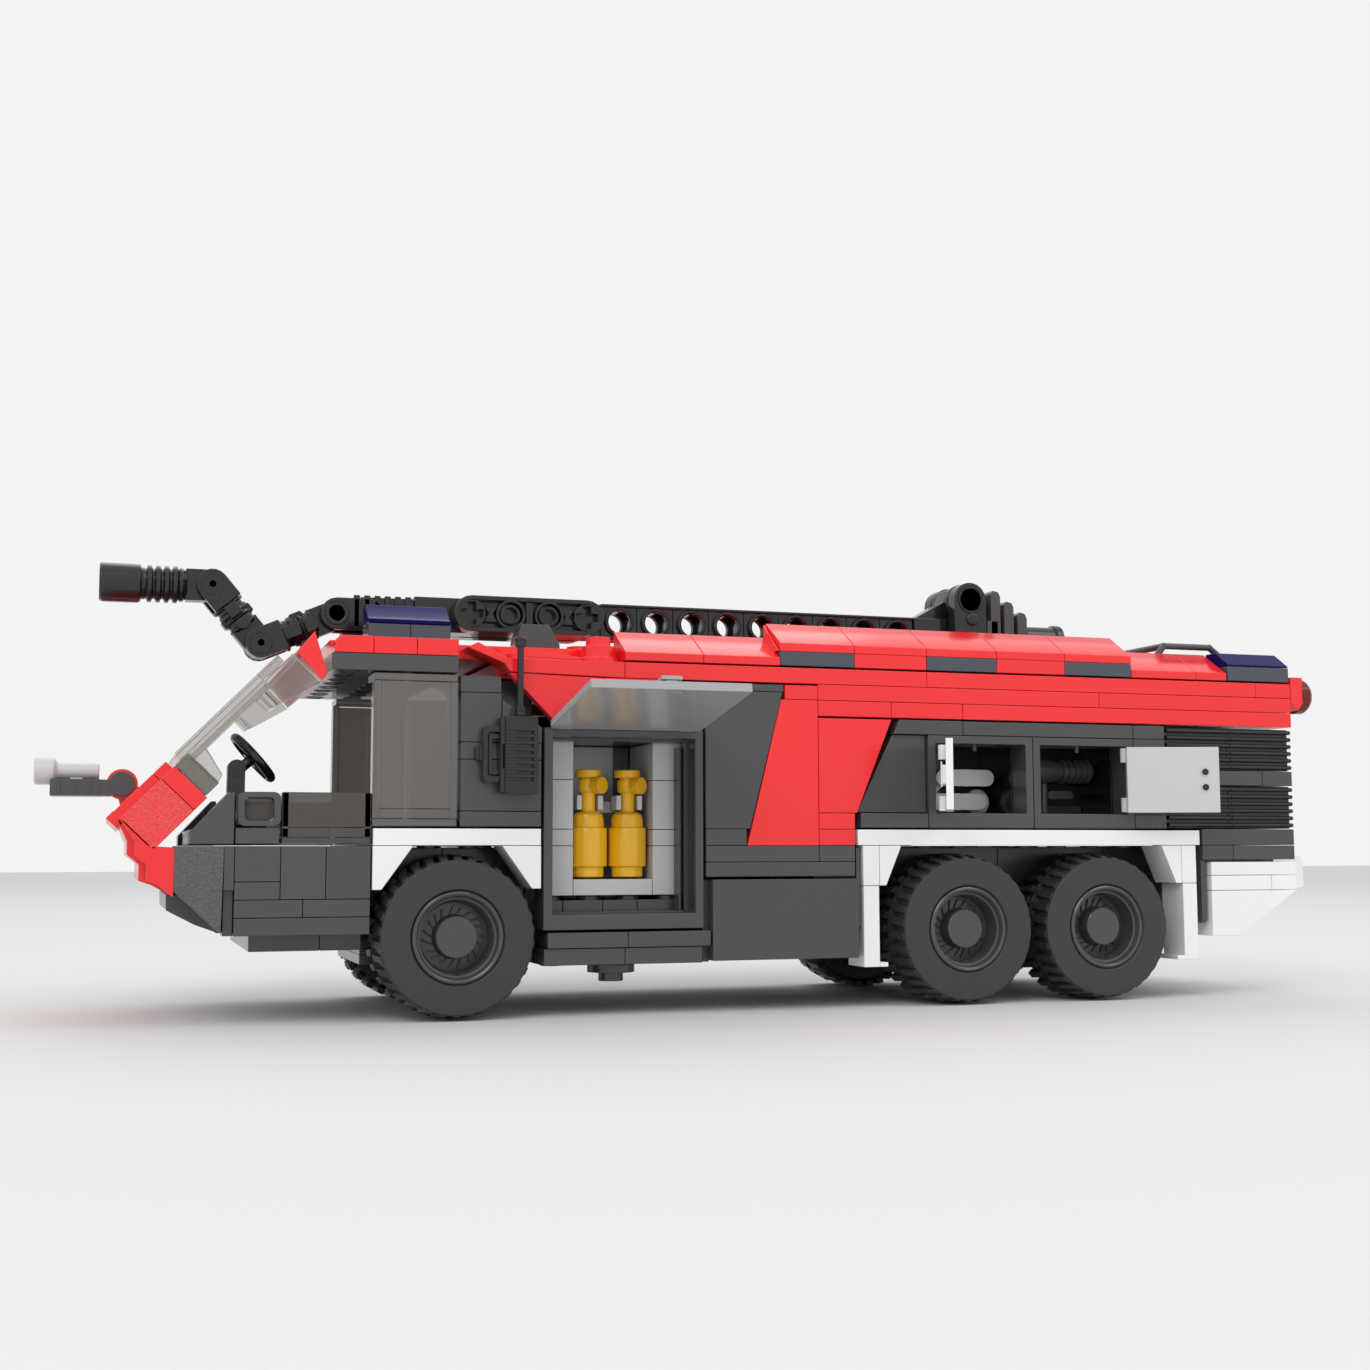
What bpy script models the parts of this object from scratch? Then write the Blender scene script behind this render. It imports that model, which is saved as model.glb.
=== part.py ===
"""Brick-built toy airport fire truck: a six-wheeled crash tender with a roof boom.

Front of the truck faces -X, its left side faces -Y, and the wheels stand on Z = 0.
Lengths along X are measured from the front edge of the front wheel arch, and the
empty that carries every piece then shifts them so that X = 0 is mid-length.
"""
import math

import bmesh
import bpy
from mathutils import Matrix, Vector

mm = 0.001

# ---- the building grid -------------------------------------------------------
stud = 8.0 * mm             # pitch of the studs
plate = 3.2 * mm            # height of one plate; a brick is three
gap = 0.3 * mm              # clearance between neighbouring pieces
panel = 1.6 * mm            # wall of a thin panel, door or pane

# ---- wheels ------------------------------------------------------------------
tyre_diameter = 30.4 * mm
tyre_width = 14.0 * mm
tyre_shoulder = 0.8 * mm    # height and width of the chamfer at the tread's edge
rim_radius = 8.4 * mm
rim_fit = 0.35 * mm         # room between rim and tyre
dish_radius = 6.9 * mm
dish_depth = 3.4 * mm
cap_radius = 3.9 * mm
axle_radius = 2.4 * mm
axle_fit = 0.3 * mm         # room between axle and hub or chassis
axle_end_cover = 2.6 * mm   # thickness of the hub cap over the axle's end
wheel_proud = 0.6 * mm      # wheel face beyond the body side
arch_room = 0.8 * mm        # gap ahead of and behind each tyre
arch_headroom = 1.6 * mm    # tyre top to the fender strip

# ---- overall body ------------------------------------------------------------
body_width = 64.0 * mm
wall = 8.0 * mm             # depth of the side walls
chassis_width = 32.0 * mm
sill_plates = 7             # plates from the fender strip down to the body's bottom
cab_plates = 10             # plates from the fender strip up to the cab roof
post = 8.0 * mm             # rear fender's length beyond its tyres' arch
locker_width = 32.0 * mm    # front locker
middle_length = 32.0 * mm   # side panels between front locker and rear fender
tail_length = 24.0 * mm     # body behind the rear fender
tail_bumper = 8.0 * mm      # bumper behind the body

# ---- cab ---------------------------------------------------------------------
cab_length = 24.0 * mm      # lower cab ahead of the front arch
corner_length = 10.4 * mm   # corner block ahead of the lower cab
windscreen_length = 28.8 * mm
windscreen_slope = math.radians(46)
windscreen_proud = 1.8 * mm
nose_height = 12.8 * mm     # nose beam along the slope
nose_depth = 8.0 * mm
roof_overhang = 7.4 * mm    # cab roof ahead of the front arch
steering_radius = 5.9 * mm

# ---- doors -------------------------------------------------------------------
hatch_height = 30.0 * mm
hatch_open = math.radians(100)
small_door_height = 13.8 * mm
front_door_open = math.radians(117)
rear_door_open = math.radians(161)
hinge_knuckle = 0.9 * mm

# ---- boom --------------------------------------------------------------------
beam_height = 7.4 * mm
beam_half_width = 3.9 * mm
hole_radius = 2.4 * mm
pin_radius = 2.3 * mm
pin_fit = 0.3 * mm
lug_radius = 4.0 * mm
lug_width = 1.8 * mm        # half width of a hinge tongue
knuckle_radius = 3.3 * mm
neck_length = 14.6 * mm
nozzle_radius = 3.7 * mm
nozzle_length = 21.0 * mm
turret_reach = 13.0 * mm    # turret arm, hinge to the end of the arm
turret_tip = 16.1 * mm      # hinge to the tip of the turret's barrel
turret_radius = 2.4 * mm
turret_arm_height = 3.3 * mm

# ---- levels and stations worked out from the sizes above ----------------------
fender_level = tyre_diameter + arch_headroom
half_width = body_width / 2
inner_wall = half_width - wall
wheel_radius = tyre_diameter / 2
wheel_face = half_width + wheel_proud
chassis_half = chassis_width / 2


def level(plates):
    """Height of a plate row above the floor, counted from the fender strip's bottom."""
    return fender_level + plates * plate


body_bottom = level(-sill_plates)
roof_level = level(cab_plates)
deck_level = level(cab_plates + 1)
top_level = level(cab_plates + 2)
rows_low = level(cab_plates - 2)      # bottom of the red rows along the upper body
locker_top = level(cab_plates - 3)

arch_length = tyre_diameter + 2 * arch_room
front_axle = arch_room + wheel_radius
locker_start = arch_length
middle_start = locker_start + locker_width
rear_start = middle_start + middle_length
middle_axle = rear_start + post + arch_room + wheel_radius
rear_axle = middle_axle + tyre_diameter + 2 * arch_room
rear_end = rear_axle + wheel_radius + arch_room + post
tail_end = rear_end + tail_length
bumper_end = tail_end + tail_bumper

lockers_start = rear_start + 2 * stud
frame_width = 3 * stud
lockers_end = lockers_start + 2 * frame_width

screen_u = Vector((math.cos(windscreen_slope), math.sin(windscreen_slope)))
screen_v = Vector((math.sin(windscreen_slope), -math.cos(windscreen_slope)))
screen_top = Vector((-roof_overhang - 7.2 * mm, roof_level + 2.8 * mm))
screen_foot = screen_top - windscreen_length * screen_u


def on_screen(along, inward):
    """A point (x, z) given along and square to the windscreen, from its foot."""
    return screen_foot + along * screen_u + inward * screen_v


beam_axis = deck_level + 11.6 * mm
boom_pivot = Vector((135.0 * mm, beam_axis + 7.6 * mm))
elbow = Vector((-3.4 * mm, beam_axis - 0.6 * mm))
knee = Vector((screen_top.x - 3.4 * mm, screen_top.y + 5.0 * mm))
neck_angle = math.radians(50)
nozzle_hinge = knee + neck_length * Vector((-math.cos(neck_angle), math.sin(neck_angle)))
turret_pivot = on_screen(-7.5 * mm, -4.6 * mm)

overall_front = turret_pivot.x - turret_tip
origin_shift = (overall_front + bumper_end) / 2

# ---- scene and collections ----------------------------------------------------
for item in list(bpy.data.objects):
    bpy.data.objects.remove(item, do_unlink=True)

truck_pieces = bpy.data.collections.new("toy_airport_fire_truck")
cutter_pieces = bpy.data.collections.new("cutters")
bpy.context.scene.collection.children.link(truck_pieces)
bpy.context.scene.collection.children.link(cutter_pieces)

carrier = bpy.data.objects.new("truck_frame", None)
carrier.location = (-origin_shift, 0, 0)
truck_pieces.objects.link(carrier)


def plastic(name, colour, roughness=0.3, metallic=0.0, alpha=1.0):
    material = bpy.data.materials.new(name)
    material.use_nodes = True
    shader = material.node_tree.nodes["Principled BSDF"]
    shader.inputs["Base Color"].default_value = (*colour, 1.0)
    shader.inputs["Roughness"].default_value = roughness
    shader.inputs["Metallic"].default_value = metallic
    shader.inputs["Alpha"].default_value = alpha
    return material


red = plastic("red_plastic", (0.78, 0.02, 0.02))
dark = plastic("dark_plastic", (0.06, 0.065, 0.07))
black = plastic("black_plastic", (0.02, 0.02, 0.022))
white = plastic("white_plastic", (0.85, 0.86, 0.88))
light_grey = plastic("light_grey_plastic", (0.55, 0.56, 0.58))
smoked = plastic("smoked_clear_plastic", (0.16, 0.15, 0.14), 0.08, alpha=0.5)
blue = plastic("blue_clear_plastic", (0.02, 0.02, 0.25), 0.08, alpha=0.8)
lamp_red = plastic("red_clear_plastic", (0.3, 0.01, 0.01), 0.08, alpha=0.8)
yellow = plastic("yellow_plastic", (0.85, 0.5, 0.02))
rubber = plastic("tyre_rubber", (0.03, 0.03, 0.032), 0.7)


# ---- building helpers -----------------------------------------------------------
def new_piece(name, mesh, material=None):
    """A mesh as an object: a named piece with a material, or else a hidden cutter."""
    piece = bpy.data.objects.new(name, mesh)
    piece.parent = carrier
    if material is None:
        cutter_pieces.objects.link(piece)
        piece.hide_render = True
        piece.display_type = "WIRE"
    else:
        truck_pieces.objects.link(piece)
        mesh.materials.append(material)
    return piece


def box(x, y, z, name="block", material=None):
    """A block between the low and high values of each axis."""
    shape = bmesh.new()
    bmesh.ops.create_cube(shape, size=1.0)
    size = Vector((x[1] - x[0], y[1] - y[0], z[1] - z[0]))
    middle = Vector((x[0] + x[1], y[0] + y[1], z[0] + z[1])) / 2
    bmesh.ops.transform(shape, matrix=Matrix.Translation(middle) @ Matrix.Diagonal((*size, 1.0)),
                        verts=shape.verts)
    mesh = bpy.data.meshes.new(name)
    shape.to_mesh(mesh)
    shape.free()
    return new_piece(name, mesh, material)


def outline_mesh(points, thickness):
    """A flat outline as a filled 2D curve, extruded and turned into a welded mesh."""
    curve = bpy.data.curves.new("outline", "CURVE")
    curve.dimensions = "2D"
    curve.fill_mode = "BOTH"
    curve.extrude = thickness / 2
    line = curve.splines.new("POLY")
    line.points.add(len(points) - 1)
    for corner, (across, up) in zip(line.points, points):
        corner.co = (across, up, 0, 1)
    line.use_cyclic_u = True
    holder = bpy.data.objects.new("outline", curve)
    bpy.context.scene.collection.objects.link(holder)
    mesh = bpy.data.meshes.new_from_object(holder.evaluated_get(bpy.context.evaluated_depsgraph_get()))
    bpy.data.objects.remove(holder)
    bpy.data.curves.remove(curve)
    shape = bmesh.new()
    shape.from_mesh(mesh)
    bmesh.ops.remove_doubles(shape, verts=shape.verts, dist=0.00001)
    bmesh.ops.recalc_face_normals(shape, faces=shape.faces)
    shape.to_mesh(mesh)
    shape.free()
    mesh.materials.clear()
    return mesh


def side_cut(points, y, name="block", material=None):
    """A side outline of (x, z) points, made as deep as the two y values."""
    mesh = outline_mesh(points, abs(y[1] - y[0]))
    mesh.transform(Matrix.Translation((0, (y[0] + y[1]) / 2, 0)) @ Matrix.Rotation(math.pi / 2, 4, "X"))
    return new_piece(name, mesh, material)


def end_cut(points, x, name="block", material=None):
    """An end outline of (y, z) points, made as long as the two x values."""
    mesh = outline_mesh(points, abs(x[1] - x[0]))
    turn = Matrix(((0, 0, 1, 0), (1, 0, 0, 0), (0, 1, 0, 0), (0, 0, 0, 1)))
    mesh.transform(Matrix.Translation(((x[0] + x[1]) / 2, 0, 0)) @ turn)
    return new_piece(name, mesh, material)


def cylinder(centre, radius, length, axis="Y", sides=24, end_radius=None, name="round", material=None):
    """A cylinder or cone centred at a point, along an axis given by name or as a vector."""
    shape = bmesh.new()
    bmesh.ops.create_cone(shape, cap_ends=True, cap_tris=False, segments=sides, radius1=radius,
                          radius2=radius if end_radius is None else end_radius, depth=length)
    named = {"X": Vector((1, 0, 0)), "Y": Vector((0, 1, 0)), "Z": Vector((0, 0, 1))}
    direction = named[axis] if isinstance(axis, str) else Vector(axis)
    turn = Vector((0, 0, 1)).rotation_difference(direction.normalized()).to_matrix().to_4x4()
    bmesh.ops.transform(shape, matrix=Matrix.Translation(centre) @ turn, verts=shape.verts)
    mesh = bpy.data.meshes.new(name)
    shape.to_mesh(mesh)
    shape.free()
    mesh.shade_smooth()
    mesh.set_sharp_from_angle(angle=math.radians(35))
    return new_piece(name, mesh, material)


def turned(profile, closed, steps, name, material):
    """A profile of (radius, height) points turned about Z with a Screw modifier."""
    shape = bmesh.new()
    corners = [shape.verts.new((radius, 0, height)) for radius, height in profile]
    ends = list(zip(corners, corners[1:]))
    if closed:
        ends.append((corners[-1], corners[0]))
    for first, second in ends:
        shape.edges.new((first, second))
    mesh = bpy.data.meshes.new(name)
    shape.to_mesh(mesh)
    shape.free()
    piece = new_piece(name, mesh, material)
    screw = piece.modifiers.new("turn", "SCREW")
    screw.axis = "Z"
    screw.angle = 2 * math.pi
    screw.steps = steps
    screw.render_steps = steps
    screw.use_merge_vertices = True
    screw.merge_threshold = 0.00001
    screw.use_smooth_shade = False
    return piece


def combine(piece, operation, others):
    for other in others:
        change = piece.modifiers.new(operation.lower(), "BOOLEAN")
        change.operation = operation
        change.solver = "EXACT"
        change.object = other
    return piece


def fuse(piece, *others):
    return combine(piece, "UNION", others)


def carve(piece, *others):
    return combine(piece, "DIFFERENCE", others)


def mirrored(y, side):
    """A (low, high) pair of distances from the centre plane, on the side -1 or +1."""
    return tuple(sorted((side * y[0], side * y[1])))


def set_pivot(piece, x, y, z):
    """Puts a moving piece's origin on its joint's axis."""
    piece.data.transform(Matrix.Translation((-x, -y, -z)))
    piece.location = (x, y, z)


def arch(x, low, centre_z, radius, steps=10):
    """An outline with straight sides up to a round top."""
    turns = [math.pi * step / steps for step in range(steps + 1)]
    return [(x - radius, low)] + [(x - radius * math.cos(turn), centre_z + radius * math.sin(turn))
                                  for turn in turns] + [(x + radius, low)]


def stadium(start, end, centre_z, radius, steps=10):
    """An outline with a round end at each of two centres."""
    turns = [math.pi * step / steps for step in range(steps + 1)]
    far = [(end + radius * math.sin(turn), centre_z + radius * math.cos(turn)) for turn in turns]
    return far + [(start - radius * math.sin(turn), centre_z - radius * math.cos(turn)) for turn in turns]


sides = (("L", -1), ("R", 1))
full_width = (-half_width, half_width)
core = (-inner_wall, inner_wall)


# ---- chassis and axles ------------------------------------------------------------
def build_chassis():
    plank_top = level(-sill_plates + 2) - gap
    chassis = box((gap, rear_end + 1.9 * mm), (-chassis_half, chassis_half),
                  (body_bottom, plank_top), "chassis", dark)
    block_top = fender_level - gap
    inset = 2 * gap
    blocks = [box((inset, arch_length - inset), (-chassis_half, chassis_half), (body_bottom, block_top)),
              box((rear_start + inset, rear_end - inset), (-chassis_half, chassis_half),
                  (body_bottom, block_top))]
    fuse(chassis, *blocks)
    bores = [cylinder((x, 0, wheel_radius), axle_radius + axle_fit, body_width, sides=16)
             for x in (front_axle, middle_axle, rear_axle)]
    carve(chassis, *bores)


def build_axle(name, x):
    reach = 2 * (wheel_face - axle_end_cover - gap)
    cylinder((x, 0, wheel_radius), axle_radius, reach, sides=16, name=name, material=black)


# ---- wheels -----------------------------------------------------------------------
def build_wheel(label, x, side):
    """Tyre and rim turned about their own axis, which lies on the axle's axis."""
    bore = rim_radius + rim_fit
    face = wheel_radius - 1.25 * tyre_shoulder
    tyre = turned([(face, tyre_width), (wheel_radius, tyre_width - tyre_shoulder),
                   (wheel_radius, tyre_shoulder), (face, 0), (bore, 0), (bore, tyre_width)],
                  True, 32, "tyre_" + label, rubber)
    outer = tyre_width - 2 * gap
    inner = 3 * gap
    floor = outer - dish_depth
    hub_bore = axle_radius + axle_fit
    rim = turned([(0, outer), (cap_radius, outer), (cap_radius, floor), (dish_radius, floor),
                  (dish_radius + gap, outer), (rim_radius, outer), (rim_radius, inner),
                  (hub_bore, inner), (hub_bore, tyre_width - axle_end_cover),
                  (0, tyre_width - axle_end_cover)],
                 False, 24, "rim_" + label, dark)
    for piece in (tyre, rim):
        piece.location = (x, side * (wheel_face - tyre_width), wheel_radius)
        piece.rotation_euler = (-side * math.pi / 2, 0, 0)


# ---- cab --------------------------------------------------------------------------
def build_lower_cab():
    bottom = level(-sill_plates + 2)
    top = fender_level - gap
    front = -cab_length - corner_length
    chamfer = 8.1 * mm
    profile = [(-gap, bottom), (-gap, top), (front, top), (front, bottom + chamfer - gap),
               (front + chamfer, bottom)]
    lower_cab = side_cut(profile, full_width, "lower_cab", dark)
    step = box((-cab_length + plate, -gap), core, (level(-sill_plates + 1), bottom + plate))
    fuse(lower_cab, step)


def build_nose():
    depth = nose_depth
    beam = side_cut([on_screen(-nose_height, 0), on_screen(-gap, 0), on_screen(-gap, depth),
                     on_screen(-nose_height, depth)], full_width, "nose", red)
    centre = side_cut([on_screen(-nose_height - 1.6 * mm, -windscreen_proud), on_screen(-4 * mm, -windscreen_proud),
                       on_screen(-4 * mm, 1 * mm), on_screen(-nose_height - 1.6 * mm, 1 * mm)], core)
    bracket = side_cut([on_screen(-6 * mm, 1 * mm), on_screen(-nose_height + 1 * mm, 1 * mm),
                        (turret_pivot.x, turret_pivot.y - 2.6 * mm), (turret_pivot.x, turret_pivot.y + 2.6 * mm)],
                       (-lug_width, lug_width))
    knob = cylinder((turret_pivot.x, 0, turret_pivot.y), 2.9 * mm, 2 * lug_width, sides=20)
    bumper_top = -nose_height
    front = -cab_length - corner_length - gap
    foot = level(-3)
    bumper = side_cut([on_screen(bumper_top, -1 * mm), on_screen(1 * mm + bumper_top, depth / 2),
                       on_screen(bumper_top, depth - 1 * mm), (front, fender_level - 2.2 * mm),
                       (front, foot + 0.6 * mm), (front - 3.6 * mm, foot + 2.7 * mm),
                       (front - 5.7 * mm, foot + 3.4 * mm), (front - 5.7 * mm, foot + 6.3 * mm),
                       (front - 7.8 * mm, foot + 8 * mm), (front - 7.8 * mm, foot + 10.4 * mm)], full_width)
    fuse(beam, centre, bracket, knob, bumper)


def build_windscreen():
    pane = side_cut([on_screen(0, 0), on_screen(windscreen_length, 0), on_screen(windscreen_length, panel),
                     on_screen(0, panel)], full_width, "windscreen", smoked)
    centre = side_cut([on_screen(2 * mm, -windscreen_proud), on_screen(windscreen_length - 1 * mm, -windscreen_proud),
                       on_screen(windscreen_length - 1 * mm, 1 * mm), on_screen(2 * mm, 1 * mm)], core)
    feet = [side_cut([on_screen(0, 0.5 * mm), on_screen(7 * mm, 0.5 * mm), on_screen(7 * mm, nose_depth - gap),
                      on_screen(0, nose_depth - gap)], mirrored((half_width - panel, half_width), side))
            for _, side in sides]
    fuse(pane, centre, *feet)
    cap = side_cut([(screen_top.x + 0.7 * mm, screen_top.y), (screen_top.x + 3.9 * mm, deck_level + 3.9 * mm),
                    (-roof_overhang - 2 * gap, roof_level - 1 * mm), (-roof_overhang - 1.6 * mm, roof_level - 2.3 * mm)],
                   full_width, "windscreen_cap", red)
    room = beam_half_width + 2 * mm
    carve(cap, box((-0.1, 0.1), (-room, room), (deck_level + 0.9 * mm, 0.2)))


def build_cab_roof():
    rear = 2 * stud - gap
    roof = box((-roof_overhang, rear), full_width, (roof_level, deck_level), "cab_roof", dark)
    tiles = side_cut([(-roof_overhang + 0.5 * mm, deck_level - 0.5 * mm), (rear, deck_level - 0.5 * mm),
                      (rear, top_level), (-roof_overhang + 1.5 * mm, top_level),
                      (-roof_overhang + 0.5 * mm, top_level - 1.5 * mm)], full_width)
    fuse(roof, tiles)


def build_beacons():
    """Blue lamps on a bar at the cab roof's rear, and another pair at the tail."""
    low = top_level + gap
    bar = box((0, 2 * stud - gap), (-inner_wall, inner_wall), (low, low + 1.6 * mm), "front_beacons", blue)
    for _, side in sides:
        lamp = end_cut([(side * inner_wall, low), (side * inner_wall, low + 4 * mm),
                        (side * (inner_wall - 1.5 * mm), low + 4.6 * mm), (side * (inner_wall - 5 * mm), low + 7.4 * mm),
                        (side * (inner_wall - wall), low + 7.4 * mm), (side * (inner_wall - wall), low)],
                       (0, 2 * stud - gap))
        fuse(bar, lamp)
    low = deck_level + gap
    start = tail_end - 2 * stud
    tail = box((start, tail_end - gap), full_width, (low, low + 1.6 * mm), "rear_beacons", blue)
    for _, side in sides:
        lamp = end_cut([(side * half_width, low), (side * half_width, low + plate),
                        (side * (half_width - 4.5 * mm), low + 6.6 * mm), (side * inner_wall, low + 6.6 * mm),
                        (side * inner_wall, low)], (start, tail_end - gap))
        fuse(tail, lamp)


def build_cab_windows():
    for label, side in sides:
        outer = mirrored((half_width - panel, half_width), side)
        tall = box((0, 2 * stud - gap), outer, (level(1) + gap, roof_level - gap), "side_windows_" + label, smoked)
        low = box((-2 * stud, -gap), outer, (fender_level + gap, level(3)))
        join = box((-1 * mm, 1 * mm), outer, (level(1) + gap, level(3)))
        small = box((-3 * stud + gap, -2 * stud + 0.1 * mm), outer, (level(1) + gap, level(3)))
        fuse(tall, low, join, small)


def build_dashboard():
    base = box((-3.9 * stud, -2 * stud - gap), core, (fender_level + gap, level(1)), "dashboard", dark)
    for _, side in sides:
        wedge = side_cut([(-4 * stud + gap, fender_level + gap), (-2 * stud - gap, fender_level + gap),
                          (-2 * stud - gap, level(1)), (-3 * stud, level(1)), (-3 * stud, level(3)),
                          (-4 * stud + gap, level(0) + 1.6 * mm)], mirrored((inner_wall - 1 * mm, half_width), side))
        fuse(base, wedge)


def build_steering():
    x = -20.0 * mm
    y = -half_width / 2
    z = level(5) + 0.5 * mm
    column = box((x - 4.7 * mm, x - 1.4 * mm), (y - 1.6 * mm, y + 1.6 * mm), (level(1) + gap, z + 1.5 * mm),
                 "steering_wheel", black)
    slope = math.radians(48)
    axis = Vector((math.sin(slope), 0, math.cos(slope)))
    ring = cylinder((x, y, z), steering_radius, 1.8 * mm, axis=axis, sides=20)
    stem = cylinder(Vector((x, y, z)) - 1.8 * mm * axis, 1.6 * mm, 5 * mm, axis=axis, sides=12)
    fuse(column, ring, stem)


def build_cab_rear():
    """Side columns behind the cab doors, with the wall between them."""
    low = level(1) + gap
    front = 2 * stud + gap
    back = locker_start - gap
    edge = roof_level - 9 * mm
    wall_top = roof_level - gap
    rear = box((back - wall, back), core, (low, wall_top), "cab_rear_wall", dark)
    for _, side in sides:
        column = side_cut([(front, low), (back, low), (back, edge), (front + 4 * mm, wall_top), (front, wall_top)],
                          mirrored((inner_wall - 1 * mm, half_width), side))
        fuse(rear, column)


# ---- fenders ------------------------------------------------------------------------
def build_fenders():
    strip = box((gap, arch_length - gap), full_width, (fender_level, level(1)), "front_fenders", white)
    drop = 2.5 * plate
    lip = 2 * mm
    width = 7.6 * mm
    for _, side in sides:
        y = mirrored((chassis_half + 2 * gap, half_width), side)
        ahead = [(gap, fender_level + 1 * mm), (width, fender_level + 1 * mm), (width, fender_level),
                 (lip, fender_level - drop), (gap, fender_level - drop)]
        behind = [(arch_length - x, z) for x, z in ahead]
        fuse(strip, side_cut(ahead, y), side_cut(behind, y))

    strip = box((rear_start + gap, rear_end - gap), full_width, (fender_level, level(1)), "rear_fenders", white)
    leg = 3.3 * mm
    foot = fender_level - 7.5 * plate
    for _, side in sides:
        y = mirrored((chassis_half + 2 * gap, half_width), side)
        front_leg = [(rear_start + 1.5 * mm, fender_level + 1 * mm), (rear_start + 1.5 * mm, foot),
                     (rear_start + 1.5 * mm + leg, foot), (rear_start + 1.5 * mm + leg, fender_level - drop),
                     (rear_start + post + 2 * mm, fender_level), (rear_start + post + 2 * mm, fender_level + 1 * mm)]
        rear_leg = [(rear_start + rear_end - x, z) for x, z in front_leg]
        fuse(strip, side_cut(front_leg, y), side_cut(rear_leg, y))


# ---- front locker -------------------------------------------------------------------
def locker_frame_top():
    return locker_top - gap


def build_front_lockers():
    """Dark frames on both sides, joined by the plates that the lining stands on."""
    start = locker_start + gap
    end = middle_start - gap
    low = level(-5)
    base = box((start, end), (-half_width, half_width), (low + gap, level(-4) - gap), "front_lockers", dark)
    for _, side in sides:
        frame = box((start, end), mirrored((inner_wall + gap, half_width), side), (low + gap, locker_frame_top()))
        opening = box((start + panel, end - panel), mirrored((0, body_width), side), (level(-4), locker_top - panel))
        fuse(base, carve(frame, opening))


def build_locker_lining():
    start = locker_start + panel + 2 * gap
    end = middle_start - panel - 2 * gap
    top = locker_top - panel - gap
    lining = box((start, end), core, (level(-4), top), "locker_lining", light_grey)
    for _, side in sides:
        carve(lining, box((locker_start + stud, middle_start - stud), mirrored((stud, body_width), side),
                          (level(-2), top - panel)))


def build_extinguishers(label, side):
    """Two bottles side by side, held at their necks by one clip."""
    floor = level(-2) + gap
    y = side * (inner_wall - 4.2 * mm)
    middle = (locker_start + middle_start) / 2
    clip = box((middle - 6.5 * mm, middle + 6.5 * mm), sorted_pair(y - side * 2 * mm, y - side * 6 * mm),
               (floor + 13.5 * mm, floor + 15 * mm), "extinguishers_" + label, yellow)
    for x in (middle - stud / 2, middle + stud / 2):
        fuse(clip,
             cylinder((x, y, floor + 6.3 * mm), 3.3 * mm, 12.6 * mm, "Z", 12),
             cylinder((x, y, floor + 6 * mm), 3.7 * mm, 7.6 * mm, "Z", 12),
             cylinder((x, y, floor + 16 * mm), 1.5 * mm, 8 * mm, "Z", 8),
             cylinder((x, y, floor + 20 * mm), 2.7 * mm, 1.8 * mm, "Z", 12),
             cylinder((x, y + side * 1.5 * mm, floor + 17.6 * mm), 1.7 * mm, 4 * mm, "Y", 8),
             box((x - 0.9 * mm, x + 0.9 * mm), sorted_pair(y, y - side * 4 * mm), (floor + 13.6 * mm, floor + 14.9 * mm)))


def sorted_pair(first, second):
    return (min(first, second), max(first, second))


def build_hatch(label, side):
    """A lift-up door over the frame, hinged along its top edge and stored open above level."""
    start = locker_start + 1 * mm
    end = middle_start - 1.2 * mm
    face = half_width + gap
    hinge_y = side * (face + panel / 2)
    hinge_z = locker_top + gap
    hatch = box((start, end), mirrored((face, face + panel), side),
                (hinge_z - hatch_height, hinge_z), "hatch_" + label, white)
    knuckle = cylinder(((start + end) / 2, hinge_y, hinge_z), hinge_knuckle, end - start, "X", 12)
    grip = box(((start + end) / 2 - 3 * mm, (start + end) / 2 + 3 * mm),
               mirrored((face + panel / 2, face + 2 * panel), side),
               (hinge_z - hatch_height + 1 * mm, hinge_z - hatch_height + 2.4 * mm))
    fuse(hatch, knuckle, grip)
    for item in (hatch, knuckle, grip):
        set_pivot(item, (start + end) / 2, hinge_y, hinge_z)
        item.rotation_euler = (side * hatch_open, 0, 0)


# ---- side panels ----------------------------------------------------------------------
slant_low = middle_start + 8.9 * mm
slant_high = middle_start + 16.9 * mm
upper_rows_start = middle_start + 3 * stud


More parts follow.
